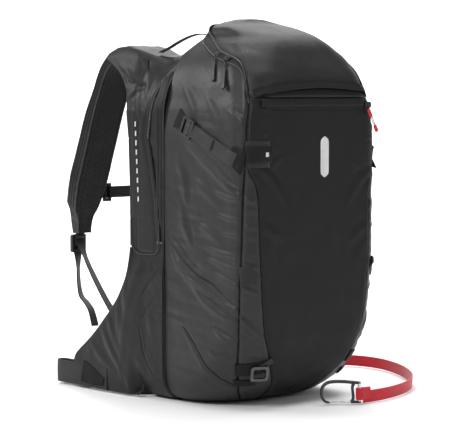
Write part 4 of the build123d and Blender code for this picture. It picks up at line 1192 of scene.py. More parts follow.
# ------------------------------------------------------------------ label loop, grab tab and low corner patch
for sg, nm in ((-1, "left"), (1, "right")):
    if sg < 0:
        o = draped_band("label_backing", [(sg * 150, 411), (sg * 108, 411)], 41.0, 1.4, WEB, lift=0.3, ripple=0.2)
        put(o, "pack", "webbing_black", "fabric_tabs")
        o = draped_band("label_loop", [(sg * 151, 411), (sg * 140, 411), (sg * 122, 411), (sg * 105, 411)], 25.0, 1.6, TRIM, lift=2.6, crown=0.8, ripple=0.2)
        put(o, "pack", "webbing_black")
        o = draped_band("label_mark", [(sg * 119, 411), (sg * 113, 411)], 7.0, 0.5, REFLECT, lift=5.0, crown=0.1, ripple=0.0, step=1.5)
        put(o, "pack", "shell_black")
    o = draped_band("grab_tab_" + nm, [(sg * 157, 218), (sg * 146, 219), (sg * 134, 221), (sg * 131, 221.5)], 33.0, 2.0, WEB, lift=0.8, crown=0.7,
                    ripple=0.2)
    # rounded to a D by narrowing towards its free end
    co = np.array([v.co for v in o.data.vertices]) / K
    c0, _ = at_sz(sg * 157, 218)
    c1, _ = at_sz(sg * 131, 221.5)
    ax = (c1 - c0) / np.linalg.norm(c1 - c0)
    tt = np.clip(((co - c0) @ ax) / np.linalg.norm(c1 - c0), 0, 1)
    mid = 218 + 3.5 * tt
    co[:, 2] = mid + (co[:, 2] - mid) * (0.25 + 0.75 * np.sqrt(np.clip(1 - tt ** 2.2, 0, 1)))
    for v, c in zip(o.data.vertices, co):
        v.co = c * K
    put(o, "pack", "webbing_black")
    o = draped_band("corner_patch_" + nm, [(sg * 143, 66), (sg * 128, 66), (sg * 112, 68), (sg * 94, 72)], 24.0, 1.6, TRIM, lift=0.5, crown=0.2)
    put(o, "pack", "webbing_black")
    o = draped_band("corner_patch_low_" + nm, [(sg * 134, 44), (sg * 116, 42), (sg * 98, 44)], 14.0, 1.6, TRIM, lift=0.8, crown=0.4)
    put(o, "pack", "webbing_black")
nd = NODES["tool_hook"]
nd.data.materials.clear()
nd.data.materials.append(DARKM)
add_bevel(nd, 1.2, 3)
o = draped_band("hook_keeper", [(-112, 70), (-100, 76), (-90, 84)], 9.0, 2.0, WEBG, lift=3.2, crown=0.6, ripple=0.1)
put(o, "pack", "webbing_black")

# ------------------------------------------------------------------ plain reflective mark on the front: an upright rounded bar
mk = np.zeros((15, 9, 3))
for r in range(15):
    for c in range(9):
        t, a = r / 14 * 2 - 1, c / 8 * 2 - 1
        hw = 9.5 * math.sqrt(max(0.02, 1 - max(0.0, (abs(t) * 33 - 23.5) / 9.5) ** 2))
        x, z = 19 + a * hw, 404 + t * 33
        h, n_ = on_bag((x, -138, z), (0, 1, 0))
        mk[r, c] = h + n_ * 0.45
o = grid_piece("front_mark", mk, REFLECT, mk[:, :, [0, 2]].copy())
add_solid(o, 0.5)
put(o, "pack", "shell_black")


# ------------------------------------------------------------------ airbag base unit
def arc(cx, cz, r, a0, a1, n):
    a = np.radians(np.linspace(a0, a1, n))
    return [(cx + r * math.cos(t), cz + r * math.sin(t)) for t in a]


def base_line(step=2.6):
    """Front-view outline of the base unit from the middle of its foot up the wearer's left, over the top and down the right."""
    half = [(0.0, 0.0), (-110.0, 0.0)] + arc(-110, 45, 45, -90, -180, 24)[1:] + [(-155.0, 470.0)] + arc(-48.2, 470, 106.8, 180, 116.0, 40)[1:]
    e = half[-1]
    a0 = math.degrees(math.atan2(e[1] - 6, e[0]))
    half += arc(0, 6, 568, a0, 90, 24)[1:]
    pts = np.array(half + [(-x, z) for x, z in half[::-1][1:]])
    d = np.concatenate([[0], np.cumsum(np.linalg.norm(np.diff(pts, axis=0), axis=1))])
    at = np.linspace(0, d[-1], int(d[-1] / step))
    return np.stack([np.interp(at, d, pts[:, k]) for k in (0, 1)], axis=1), at


BL, BAT = base_line()
BT = np.gradient(BL, axis=0)
BT /= np.linalg.norm(BT, axis=1, keepdims=True)
BN = np.stack([BT[:, 1] * -1, BT[:, 0]], axis=1)      # left of travel; the line runs clockwise seen from the front, so this points outwards
if np.mean(BN[:, 0] * BL[:, 0]) < 0:
    BN = -BN

BZ_Z = [0, 262, 267, 338, 412, 435, 478, 505, 530, 548, 560]
BZ_Y = [64, 64, 65, 73, 88, 95, 88, 82, 74, 65, 62]


def burst_y(z):
    return np.interp(z, BZ_Z, BZ_Y)


def base_x(z):
    """Half width of the base unit at a height, on its left side."""
    z = np.asarray(z, float)
    lowx = 110 + np.sqrt(np.clip(45 ** 2 - (45 - np.clip(z, 0, 45)) ** 2, 0, None))
    topx = 48.2 + np.sqrt(np.clip(106.8 ** 2 - (np.clip(z, 470, 576) - 470) ** 2, 0, None))
    return np.where(z < 45, lowx, np.where(z > 470, topx, 155.0))


ys = np.concatenate([np.linspace(57.4, 112, 40), 112 + 6 * np.sin(np.linspace(0, math.pi / 2, 7))[1:]])
inset = np.concatenate([np.zeros(40), 6 * (1 - np.cos(np.linspace(0, math.pi / 2, 7)))[1:]])
NL = len(BL)
Yg = np.broadcast_to(ys[:, None], (len(ys), NL))
Zg = np.broadcast_to(BL[:, 1][None, :], Yg.shape)
Xg = np.broadcast_to(BL[:, 0][None, :], Yg.shape)
up_ = ss(262, 300, Zg) * ss(0.5, 30, np.abs(Xg))
by = burst_y(Zg)
Dg = up_ * (2.1 * np.exp(-((Yg - 64.2) / 2.6) ** 2) + 2.4 * np.exp(-((Yg - 71.6) / 3.0) ** 2) * ss(66, 76, by + 4) - 1.3 * np.exp(-((Yg - 59.6) / 1.6) ** 2) - 1.0 * np.exp(-((Yg - 67.9) / 1.2) ** 2))
gus = np.clip((Yg - 60) / np.maximum(by - 60, 1), 0, 1)
Dg = Dg + up_ * 1.6 * np.sin(np.pi * gus) * (by > 68) + up_ * 0.7 * vnoise(Zg / 11.0, Yg / 9.0, 2.0) * (gus < 1)
Dg = Dg + 0.6 * vnoise(Zg / 34.0 + Xg / 40.0, Yg / 15.0, 5.0)
Dg = Dg * ss(60, 30, np.abs(Xg) * (Zg < 40) + 1e3 * (Zg >= 40) * 0 + 0 * Zg) if False else Dg
Dg = Dg * ss(-1, 14, Zg)
PG = np.stack([Xg - np.broadcast_to(BN[:, 0], Xg.shape) * inset[:, None] + BN[:, 0] * Dg,
               Yg, Zg - np.broadcast_to(BN[:, 1], Xg.shape) * inset[:, None] + BN[:, 1] * Dg], axis=2)
PG[:, :, 2] = np.maximum(PG[:, :, 2], 0.15)
uvg = np.stack([np.broadcast_to(BAT[None, :], Yg.shape), Yg], axis=2)
win = (Xg[:-1, :-1] > 150) & (Yg[:-1, :-1] > 77) & (Yg[:-1, :-1] < 101) & (Zg[:-1, :-1] > 173) & (Zg[:-1, :-1] < 229)
o = grid_piece("base_side_cloth", PG, BASEF, uvg, keep=~win, flip=True)
add_solid(o, 1.4)
put(o, "pack", "base_fabric", "base_shell")
# rear face behind the foam: rings closing towards the middle
cenr = np.array([0.0, 118.0, 290.0])
kr = np.linspace(1, 0.03, 26)
PR = np.stack([cenr + (PG[-1] - cenr) * k for k in kr], axis=0)
PR[:, :, 1] = 118.0 - 0.4 * (1 - kr[:, None]) + 0.7 * vnoise(PR[:, :, 0] / 30, PR[:, :, 2] / 38, 4) * np.minimum(1, (1 - kr[:, None]) * 4)
PR[0] = PG[-1]
o = grid_piece("base_rear_cloth", PR, BASEF, PR[:, :, [0, 2]].copy(), flip=True)
add_solid(o, 1.2)
put(o, "pack", "base_fabric")

# front face of the base unit, seen only in the gap by the zip; it is base fabric, given the darkest black as painted
# shade in that gap
kf = np.linspace(1, 0.0, 14)
cenf = np.array([0.0, 58.4, 290.0])
PFr = np.stack([cenf + (PG[0] - cenf) * lerp(1.0, 0.60, 1 - k) for k in kf], axis=0)
PFr[:, :, 1] = 58.6 + 0.0 * PFr[:, :, 1]
PFr[0] = PG[0]
o = grid_piece("base_front_shade_cloth", PFr, TRIM, PFr[:, :, [0, 2]].copy())
put(o, "pack", "base_fabric")

# the zip that joins the bag to the base unit: coil in its groove, a garage at each upper end
jl = np.stack([BL[:, 0] + BN[:, 0] * 0.4, np.full(NL, 59.4), BL[:, 1] + BN[:, 1] * 0.4], axis=1)
jl = jl[(BL[:, 1] > 6)]
put(tube("join_zip_coil", jl, 1.7, COIL, n=8, step=2.2, flat=0.9, wdir=(0, 1, 0)), "pack", "zip_black", "booster_zip")
for sg, nm in ((-1, "left"), (1, "right")):
    zg = np.linspace(540, 566, 9)
    gl = np.stack([sg * (base_x(zg) + 2.2), lerp(63.0, 57.0, (zg - 540) / 26), zg], axis=1)
    o = band("join_zip_garage_" + nm, gl, (0, 1, 0), 15.0, 3.0, TRIM, step=2, crown=0.8)
    put(o, "pack", "zip_black")

# burst zips: toothed line round the sleeve, then a dark welt to a bar tack
for sg, nm in ((-1, "left"), (1, "right")):
    zt = np.linspace(552, 432, 60)
    bl = np.stack([sg * (base_x(zt) + 2.6), burst_y(zt), zt], axis=1)
    o = band("burst_zip_" + nm, bl, (0, 1, 0), 4.6, 1.9, BURST, step=1.6, crown=0.6)
    put(o, "pack", "burst_zip", *(["burst_zips"] if sg < 0 else []))
    zt = np.linspace(434, 264, 70)
    bl = np.stack([sg * (base_x(zt) + 2.4 + 0.3 * vnoise(zt / 9.0, 2.0)), burst_y(zt) + 0.5 * vnoise(zt / 15.0, 1.0), zt], axis=1)
    put(tube("burst_welt_" + nm, bl, 1.6, TRIM, n=8, step=2.2), "pack", "zip_black")
    bt = np.stack([sg * np.full(6, 158.0), np.linspace(60, 72, 6), np.full(6, 262.0)], axis=1)
    put(band("bar_tack_" + nm, bt, (0, 0, 1), 3.4, 1.6, THREAD, step=1.2), "pack", "base_fabric")

# ------------------------------------------------------------------ sleeve and yoke: one skin from the burst zip back over the strap's root
RZ = [248, 346, 430, 478, 512, 530, 546, 560, 566]
RY = [137, 137.6, 141, 147, 155, 168, 186, 212, 223]
PO = np.array([(119.0, 548.0), (119.0, 566.0), (145.0, 578.0), (175.0, 584.0), (205.0, 581.0), (230.0, 569.0)])


def strap_top(y):
    return np.interp(y, [60, 100, 119, 145, 175, 205, 230], [566, 566, 568, 578, 584, 581, 569])


def weld(a, b, dist=0.3):
    """Join two pieces that share an edge into one skin."""
    with bpy.context.temp_override(active_object=a, selected_editable_objects=[a, b], selected_objects=[a, b], object=a):
        bpy.ops.object.join()
    bm = bmesh.new()
    bm.from_mesh(a.data)
    bmesh.ops.remove_doubles(bm, verts=bm.verts, dist=dist * K)
    bm.to_mesh(a.data)
    bm.free()
    a.data.polygons.foreach_set("use_smooth", np.ones(len(a.data.polygons), bool))
    a.data.update()
    return a


def yoke(sg, nm):
    zr = np.concatenate([np.linspace(242, 478, 80), np.linspace(478, 566, 36)[1:]])
    na = 44
    a = np.linspace(0, 1, na)
    Z = np.repeat(zr[:, None], na, axis=1)
    y0 = burst_y(Z) + 1.5
    y1 = np.interp(Z, RZ, RY)
    Y = y0 + (y1 - y0) * a[None, :]
    xb = base_x(Z) + 1.6
    xr = np.interp(Z, [248, 478, 520, 566], [159.0, 158.6, 151.0, 140.0])
    f0 = np.interp(Z, [470, 505], [0, 30])
    X = lerp(xb, xr, ss(0, 1, (Y - (y0 + f0 * 0.6)) / np.interp(Z, [470, 510], [20, 62])))
    # wrinkles of the slack collar, and light quilting down the sleeve
    D = 0.45 * vnoise(Z / 30.0, Y / 18.0, 3.0) + 0.12 * vnoise(Z / 9.0, Y / 8.0, 6.0)
    for pts, w, h, ln in [([(164, 548), (150, 534), (136, 526)], 6.0, 3.0, 0.7), ([(134, 520), (124, 516), (112, 520)], 5.0, -2.6, 0.3),
                          ([(146, 500), (136, 512), (126, 522)], 5.0, 2.2, 0.5), ([(118, 548), (110, 524), (104, 500)], 7.0, 2.2, 0.5),
                          ([(128, 505), (122, 486), (116, 470)], 5.0, 1.6, 0.4), ([(96, 540), (90, 515), (96, 490)], 6.0, 1.4, 0.4),
                          ([(186, 556), (164, 544), (150, 530)], 5.0, 1.6, 0.5), ([(132, 476), (130, 440), (128, 400)], 7.0, 0.9, 0.3),
                          ([(108, 470), (110, 430), (104, 395)], 6.0, 1.0, 0.3)]:
        D = D + stroke(Y, Z, pts, w, h, ln)
    edge = (Y - y0)
    D = D * ss(0, 8, edge) * ss(0, 8, y1 - Y + 2)
    D = D + 0.8 * np.exp(-((edge - 4) / 2.5) ** 2) - 0.7 * np.exp(-((edge - 9) / 1.5) ** 2) * (Z < 500)
    # stitched pocket outline low on the sleeve
    D = D - 0.8 * np.exp(-((Z - 300) / 1.6) ** 2) * ss(104, 108, Y) - 0.8 * np.exp(-((Y - 122) / 1.5) ** 2) * (Z < 300)
    X = X + D
    outer = np.stack([X, Y, Z], axis=2)
    # the rear edge rolls over to the inner face
    Xe, Ye = X[:, -1:], Y[:, -1:]
    xin = np.interp(zr, [248, 478, 500, 566], [130.0, 130.5, 137.0, 137.5])[:, None]
    r = 4.0
    th = np.linspace(0, math.pi / 2, 6)[None, 1:]
    roll = np.stack([Xe - r + r * np.cos(th), Ye + r * np.sin(th) * 0.9 + 0 * Xe, Z[:, :1] + 0 * th], axis=2)
    flat = np.linspace(0, 1, 8)[None, 1:]
    back = np.stack([lerp(Xe - r, xin, flat), Ye + 3.6 + 0 * flat, Z[:, :1] + 0 * flat], axis=2)
    back[:, :, 1] += 0.4 * vnoise(Z[:, :1] / 20, flat * 3, 2.0)
    inn = np.linspace(0, 1, 10)[None, 1:]
    yin = np.where(zr < 560, 118.4, 119.0)[:, None]
    inner = np.stack([xin + 0 * inn, lerp(Ye + 3.6, yin, inn), Z[:, :1] + 0 * inn], axis=2)
    P = np.concatenate([outer, roll, back, inner], axis=1)
    # rounded tongue: the bottom rows draw in
    lowk = 1 - ss(242, 254, P[:, :, 2])
    cyy = 100.0
    P[:, :, 1] = np.where(P[:, :, 0] > 154, lerp(P[:, :, 1], cyy + (P[:, :, 1] - cyy) * 0.72, lowk * ss(0.0, 1.0, np.abs(P[:, :, 1] - cyy) / 34.0)), P[:, :, 1])
    P[0, :, 0] = np.minimum(P[0, :, 0], 156.2)
    uv = np.stack([np.concatenate([Y, Ye + 3 + 4 * th, Ye + 8 + 20 * flat, Ye + 30 + 10 * inn], axis=1), P[:, :, 2]], axis=2)
    P[:, :, 0] *= sg
    yk = grid_piece("yoke_cloth_" + nm, P, BASEF, uv, flip=(sg < 0) is False)
    # cap that closes over the strap's root
    q = np.linspace(0, 1, 16)
    last = outer[-1]
    Q = np.zeros((16, na, 3))
    for i, t in enumerate(q):
        roundx = math.sin(t * math.pi / 2)
        x = lerp(last[:, 0], 64.0, t)
        arcz = 470 + np.sqrt(np.clip(106.8 ** 2 - (np.maximum(x, 95) - 48.2) ** 2, 0, None)) + 2.0
        arcz = np.where(x < 95, 567.5 + 6.5 * ss(95, 30, x), np.maximum(arcz, 567.0))
        topz = strap_top(last[:, 1]) + 2.4
        side = lerp(566.0, topz, np.sqrt(np.clip(1 - (1 - min(1.0, t * 7)) ** 2, 0, 1)))
        k = ss(100, 126, last[:, 1])
        Q[i, :, 0] = x
        Q[i, :, 1] = last[:, 1]
        Q[i, :, 2] = lerp(np.maximum(arcz, 566.0 * 0 + arcz), side, k) + 0.6 * vnoise(x / 16.0, last[:, 1] / 14.0, 4.0) * min(1, t * 4)
    Q[0] = last
    Q[:, :, 0] *= sg
    cp_ = grid_piece("yoke_cap_" + nm, Q, BASEF, np.stack([Q[:, :, 1], Q[:, :, 0]], axis=2), flip=(sg < 0) is False)
    yk = weld(yk, cp_)
    put(yk, "pack", "base_fabric", *(["airbag_sleeves", "collar"] if sg < 0 else []))
    # pale binding down the sleeve's rear edge and round its tongue
    rear = P[:, na + 1].copy()
    put(tube("sleeve_binding_" + nm, rear[4:80] + np.array([sg * 0.2, 0.2, 0]), 0.95, PIPING, n=7, step=4), "pack", "shell_grey")
    front = P[2:76, 1].copy()
    tong = [(sg * 159.8, 66, 300), (sg * 160.0, 66, 262), (sg * 160.0, 69, 246.5), (sg * 159.8, 78, 241.2), (sg * 159.8, 112, 240.6),
            (sg * 159.8, 124, 243), (sg * 159.6, 132, 252), (sg * 159.4, 136.2, 267), (sg * 159.3, 136.6, 300)]
    put(tube("tongue_binding_" + nm, run(tong), 0.9, PIPING, n=7, step=2.5), "pack", "shell_grey")
    ln = np.stack([np.full(30, sg * 160.6), np.full(30, 131.0), np.linspace(262, 470, 30)], axis=1)
    stitches("sleeve_stitch_" + nm, ln, (sg, 0, 0), "pack")
    # reflective dashes down the sleeve, in place of any wording
    for i in range(9):
        z0 = 460 - i * 15.5
        p = np.stack([np.full(5, sg * (159.9 + 0.0)), lerp(124.5, 117.5, i / 8.0) + np.zeros(5), np.linspace(z0, z0 - 8.5, 5)], axis=1)
        put(band("sleeve_dash_%s_%d" % (nm, i), p, (0, 1, 0), 2.6, 1.2, REFLECT, step=2.0, crown=0.1), "pack", "base_fabric")
    return P


YP = yoke(-1, "left")
yoke(1, "right")


# ------------------------------------------------------------------ shoulder straps
SO = [(119, 566), (145, 578), (175, 584), (205, 581), (230, 569), (250, 549), (268, 515), (293, 469), (316, 408), (337, 345), (349, 305), (352.5, 280), (352, 260)]
SI = [(135, 549), (150, 560), (180, 566.5), (200, 563), (218, 554), (233, 538), (250, 505), (268, 460), (291, 391), (311, 321), (321, 290), (328, 274), (333, 260)]


def strap(sg, nm):
    so, si = np.array(SO, float), np.array(SI, float)
    d = np.concatenate([[0], np.cumsum(np.linalg.norm(np.diff((so + si) / 2, axis=0), axis=1))])
    m = 150
    at = np.linspace(0, d[-1], m)
    fo = [pchip(d, so[:, k])(at) for k in (0, 1)]
    fi = [pchip(d, si[:, k])(at) for k in (0, 1)]
    cy, cz = (fo[0] + fi[0]) / 2, (fo[1] + fi[1]) / 2
    hy, hz = (fo[0] - fi[0]) / 2, (fo[1] - fi[1]) / 2
    w = np.interp(cz, [262, 284, 296, 308, 328, 356, 600], [14.5, 15.6, 18.5, 25.0, 29.5, 33.5, 35.0])
    cxs = 100.0 + np.interp(cz, [262, 284, 305, 330, 380, 430], [0.0, 3.0, 7.0, 6.0, 2.0, 0.0])
    cxs = np.where(at < 60, 100.0, cxs)
    w = np.where(at < 70, lerp(22.0, 34.6, ss(5, 65, at)), w)
    n = 48
    P = np.zeros((m, n, 3))
    uv = np.zeros((m, n, 2))
    mi = np.zeros(n, int)
    for k in range(n):
        t = 2 * math.pi * (k + 0.5) / n
        ca, sa = math.cos(t), math.sin(t)
        e = 0.27
        a = math.copysign(abs(ca) ** e, ca)
        b = math.copysign(abs(sa) ** e, sa)
        crown = 1 + (0.16 * (1 - a * a) if b > 0 else -0.12 * (1 - a * a))
        D = 0.5 * vnoise(at / 22.0, k / 6.0, 3.0) + 0.25 * vnoise(at / 8.0, k / 3.0, 8.0)
        # grooves of the inner panel seams
        gr = -0.9 * math.exp(-((abs(a) - 0.72) / 0.05) ** 2) if b < -0.5 else 0.0
        gr += -0.9 * math.exp(-((abs(a) - 0.80) / 0.04) ** 2) if b > 0.5 else 0.0
        P[:, k, 0] = cxs + w * a
        P[:, k, 1] = cy + hy * b * crown
        P[:, k, 2] = cz + hz * b * crown
        hn = np.stack([hy, hz], axis=1) / np.hypot(hy, hz)[:, None]
        P[:, k, 1] += hn[:, 0] * (D + gr) * (1 if b > 0 else -1)
        P[:, k, 2] += hn[:, 1] * (D + gr) * (1 if b > 0 else -1)
        uv[:, k, 0] = at
        uv[:, k, 1] = w * a + (200 if b < 0 else 0)
        mi[k] = 1 if b < -0.6 else 0
    if sg < 0:     # recess for the release grip
        inr = (np.abs(P[:, :, 0] - 100) < 15.0) & (P[:, :, 2] > 292) & (P[:, :, 2] < 347) & (P[:, :, 1] > 326)
        P[:, :, 1] = np.where(inr, np.minimum(P[:, :, 1], 333.2), P[:, :, 1])
    P[:, :, 0] *= sg
    o = grid_piece("shoulder_pad_cloth_" + nm, P, [BASEF, MESH], uv, closed=True, cap0=True, cap1=True, mat_index=np.broadcast_to(mi[None, :], (m - 1, n)), flip=(sg > 0))
    put(o, "pack", "mesh_black", "shoulder_pad_" + nm)
    # bindings along both edges of the inner face, and the raised rib on the outer layer
    for x, r_, mt in ((134.2, 1.7, PIPING), (65.8, 1.5, TRIM)):
        off = x - 100
        ln = np.stack([sg * (cxs + w * (0.945 if off > 0 else -0.945)), cy - hy * 0.71, cz - hz * 0.71], axis=1)
        put(tube("strap_binding_%s_%d" % (nm, int(x)), ln[4:], r_, mt, n=8, step=3.5), "pack", "shell_grey")
    for x in (131.0, 69.0):
        off = x - 100
        ln = np.stack([sg * (cxs + w * off / 35.0), cy + hy * 0.98, cz + hz * 0.98], axis=1)
        put(tube("strap_rib_%s_%d" % (nm, int(x)), ln[30:-16], 1.1, TRIM, n=7, step=4), "pack", "shell_grey")
    # side bands: fine ribs along the strap's edge
    for q, fr in enumerate((-0.35, 0.1, 0.5)):
        ln = np.stack([sg * (cxs + w * 1.005), cy + hy * fr, cz + hz * fr], axis=1)
        put(tube("strap_side_rib_%s_%d" % (nm, q), ln[10:-10], 0.8, BASEF, n=6, step=4), "pack", "base_fabric")
    # daisy webbing down the outer face
    ln = np.stack([sg * cxs, cy + hy * 1.16, cz + hz * 1.16], axis=1)
    nv = np.array([1.0, 0, 0])
    seg = ln[36:96]
    o = band("strap_daisy_" + nm, seg, (1, 0, 0), 19.0, 1.8, WEB, step=3, crown=0.2)
    put(o, "pack", "webbing_black")
    return cy, cz, hy, hz, w


strap(-1, "left")
strap(1, "right")
nd = NODES["trigger_handle"]
nd.data.materials.clear()
nd.data.materials.append(REDP)
add_bevel(nd, 1.6, 3)

# ladder locks with their webbing, one tight run down to the base and a loose tail
for sg, nm in ((-1, "left"), (1, "right")):
    nd = NODES["ladder_lock_" + nm]
    nd.data.materials.clear()
    nd.data.materials.append(PLASTIC)
    add_bevel(nd, 1.5, 3)
    loadl = run([(sg * 100, 350.5, 250), (sg * 100, 346, 238), (sg * 101, 318, 197), (sg * 103, 262, 133), (sg * 103, 200, 82), (sg * 100.5, 126, 46)])
    tl_ = np.linspace(0, 1, len(loadl))
    an_ = np.radians(np.interp(tl_, [0, 0.10, 0.25, 0.6, 1.0], [0, 12, 34, 24, 8]))
    o = band("adjuster_web_" + nm, loadl, np.stack([-sg * np.cos(an_), np.sin(an_), 0 * an_], axis=1), 20.0, 1.8, WEB, step=3, crown=0.2, ripple=0.2)
    put(o, "pack", "webbing_black", *(["shoulder_webbings"] if sg < 0 else []))
    tail = run([(sg * 100, 357.0, 246), (sg * 100, 358.5, 236), (sg * 100, 353, 222), (sg * 100, 353, 196), (sg * 100, 352, 172), (sg * 100.5, 346, 148), (sg * 101, 326, 136),
                (sg * 102, 311, 122), (sg * 102, 304, 98)])
    # width turns a little as it hangs
    tl_ = np.linspace(0, 1, len(tail))
    an_ = np.radians(np.interp(tl_, [0, 0.12, 0.35, 0.7, 1.0], [0, 0, 36, 30, 14]))
    o = band("adjuster_tail_" + nm, tail, np.stack([-sg * np.cos(an_), np.sin(an_), 0 * an_], axis=1), 20.0, 1.8, WEB, step=2.5, crown=0.3, ripple=0.25, seed=4.0)
    put(o, "pack", "webbing_black")
    lp = run([(sg * 100, 344, 262), (sg * 100, 349, 256), (sg * 100, 355.5, 253), (sg * 100, 358.2, 249.5), (sg * 100, 356, 247), (sg * 100, 350, 248.5), (sg * 100, 342, 256)])
    o = band("lock_loop_" + nm, lp, (1, 0, 0), 20.0, 1.8, WEB, step=1.6)
    put(o, "pack", "webbing_black")
# small red tag sewn in the left strap's lower edge
tg = np.array([(-84.0, 350.0, 270.0), (-80.5, 353.0, 267.0), (-77.5, 355.0, 264.5)])
put(band("red_tag", tg, (0, 0.45, 0.9), 8.5, 1.4, RED, step=1.0), "pack", "webbing_red")

# load lifters: a thin webbing arch from the yoke up to the hood's back
for sg, nm in ((-1, "left"), (1, "right")):
    ll = run([(sg * 73, 37.0, 602), (sg * 77, 46, 604.2), (sg * 83, 59, 603.8), (sg * 90, 75, 598), (sg * 96, 91, 590), (sg * 102, 106, 580.5), (sg * 108, 120, 574.5)])
    o = band("load_lifter_" + nm, ll, (1, sg * -0.35, 0), 14.0, 1.8, WEB, step=2.5, crown=0.2)
    put(o, "pack", "webbing_black", *(["load_lifters"] if sg < 0 else []))

# ------------------------------------------------------------------ hip wings: one skin from the zip line back to the belt's end
WU = [(58, 262), (100, 262), (128, 262), (136, 258), (139, 240), (147, 207), (160, 180), (173, 160), (190, 140), (208, 122), (225, 105), (243, 89), (258, 77), (270, 68), (280, 60), (286, 53), (289, 42), (290, 30)]
wuf = pchip([a for a, b in WU], [b for a, b in WU])
WLF = pchip([58, 250, 262, 274, 283, 290], [2.5, 2.5, 3.2, 6.5, 12.0, 29.0])


def wing(sg, nm):
    yy = np.concatenate([np.linspace(58.5, 286, 150), np.linspace(286, 290, 8)[1:]])
    nv = 110
    v = np.linspace(0, 1, nv)
    Y = np.repeat(yy[None, :], nv, axis=0)
    zh, zl = wuf(Y), WLF(Y)
    V = v[:, None]
    Zw = zl + (zh - zl) * V
    Xw = np.full(Y.shape, 160.6)
    # near the bag the skin follows the base unit's rounded foot
    L1 = 35.0 + 45 * math.pi / 2
    tot = L1 + (zh - 45)
    s = V * tot
    ph = np.clip((s - 35) / 45.0, 0, math.pi / 2)
    Xb = np.where(s < 35, 75 + s, 110 + 45 * np.sin(ph))
    Zb = np.where(s < 35, 0.2, np.where(s < L1, 45 - 45 * np.cos(ph), 45 + (s - L1)))
    Xb = Xb + 1.7
    k = ss(96, 142, Y)
    X, Z = lerp(Xb, Xw, k), lerp(Zb, Zw, k)
    X = X + 1.2 * ss(1.0, 0.3, k) * ss(20, 60, Z)
    D = 0.7 * vnoise(Y / 30.0, Z / 34.0, 2.0) + 0.35 * vnoise(Y / 11.0, Z / 13.0, 5.0)
    f = [([(112, 250), (118, 218), (128, 190), (140, 160)], 9.0, 2.0, 0.5), ([(150, 190), (146, 150), (150, 110), (160, 60)], 9.0, 2.6, 0.4),
         ([(168, 160), (164, 120), (166, 80)], 8.0, 1.8, 0.4), ([(214, 112), (190, 80), (166, 50), (158, 30)], 7.0, 1.7, 0.5),
         ([(196, 130), (178, 96), (160, 62)], 6.0, 1.3, 0.4), ([(120, 170), (128, 120), (136, 80)], 10.0, 1.5, 0.3),
         ([(84, 238), (92, 214), (106, 190), (122, 168)], 6.0, 2.0, 0.5), ([(74, 240), (78, 220)], 5.0, 1.0, 0.3),
         ([(240, 84), (215, 60), (190, 46)], 7.0, 1.2, 0.4), ([(100, 110), (90, 70), (70, 40)], 8.0, 1.2, 0.3),
         ([(150, 36), (140, 20), (120, 12)], 7.0, 1.6, 0.4), ([(96, 160), (88, 120), (84, 90)], 8.0, 1.2, 0.3)]
    for pts, w, h, ln in f:
        D = D + stroke(Y, Z, pts, w, h, ln)
    # sewn seams
    seams = [[(60, 230), (80, 208), (103, 184), (110, 172)],
             [(60, 195), (74, 178), (88, 160), (100, 147), (111, 134)],
             [(116, 120), (111, 98), (106, 77), (94, 56), (78, 39), (60, 27)]]
    for sm in seams:
        D = D + stroke(Y, Z, sm, 1.8, -2.2, 0.0) + stroke(Y + 4, Z + 3, sm, 3.5, 1.3, 0.0)
    D = D + 1.5 * np.sin(Z / 2.1 + Y / 3.0) * np.exp(-((Y - 66) / 6.0) ** 2 - ((Z - 142) / 15.0) ** 2)
    edge = np.minimum(1, np.minimum((zh - Zw) / 10.0, (290 - Y) / 9.0))
    puffy = 2.2 * np.sin(np.pi * np.clip(V, 0, 1)) * k
    D = (D * ss(58, 64, Y) + puffy) * ss(0, 1, np.maximum(edge, 1 - k))
    X = X + D * ss(0, 26, s + 40 * k)
    under = ss(205, 243, Z) * ss(143, 135, Y)
    X = lerp(X, 156.0, under)
    P = np.stack([sg * X, Y, Z], axis=2)
    o = grid_piece("hip_skin_" + nm, P, BASEF, np.stack([Y, np.broadcast_to(s, Y.shape)], axis=2), flip=(sg > 0))
    add_solid(o, 1.5)
    apply_mods(o)
    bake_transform(o)
    # inner half: the padded core, its mesh face turned to the wearer
    yi = np.linspace(119, 288.5, 90)
    Yi = np.repeat(yi[None, :], 40, axis=0)
    vi = np.linspace(0, 1, 40)[:, None]
    zi0, zi1 = WLF(Yi) + 1.0, wuf(Yi) - 1.0
    Zi = zi0 + (zi1 - zi0) * vi
    dd = np.minimum(np.minimum(zi1 - Zi, Zi - zi0), (289.5 - Yi) * 1.0)
    rr = np.sqrt(np.clip(1 - (1 - np.clip(dd / 11.0, 0, 1)) ** 2, 0, 1))
    Xi = 158.5 - 12.0 * rr - 0.8 * vnoise(Yi / 22, Zi / 22, 4.0) * rr
    quilt = 0.9 * np.exp(-((np.mod(Yi + Zi * 0.6, 36) - 18) / 2.6) ** 2)
    Xi = Xi + quilt * rr
    Pi = np.stack([sg * Xi, Yi, Zi], axis=2)
    o = grid_piece("hip_pad_inner_" + nm, Pi, MESH, np.stack([Yi, Zi], axis=2), flip=(sg < 0))
    put(o, "hip_wing_" + nm, "mesh_black", "hip_wing_" + nm)
    # binding round the wing's edge, in one length
    ed = [(y, float(wuf(y))) for y in np.linspace(137.5, 290, 60)] + [(290.3, 30), (288, 20), (283, 11.5), (274, 6.0), (262, 3.4), (250, 2.6)]
    ln = np.array([(sg * 159.6, y, max(z, 2.2)) for y, z in ed])
    o = tube("hip_binding_" + nm, ln, 2.1, PIPING, n=8, step=3.0, flat=0.75)
    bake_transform(o)
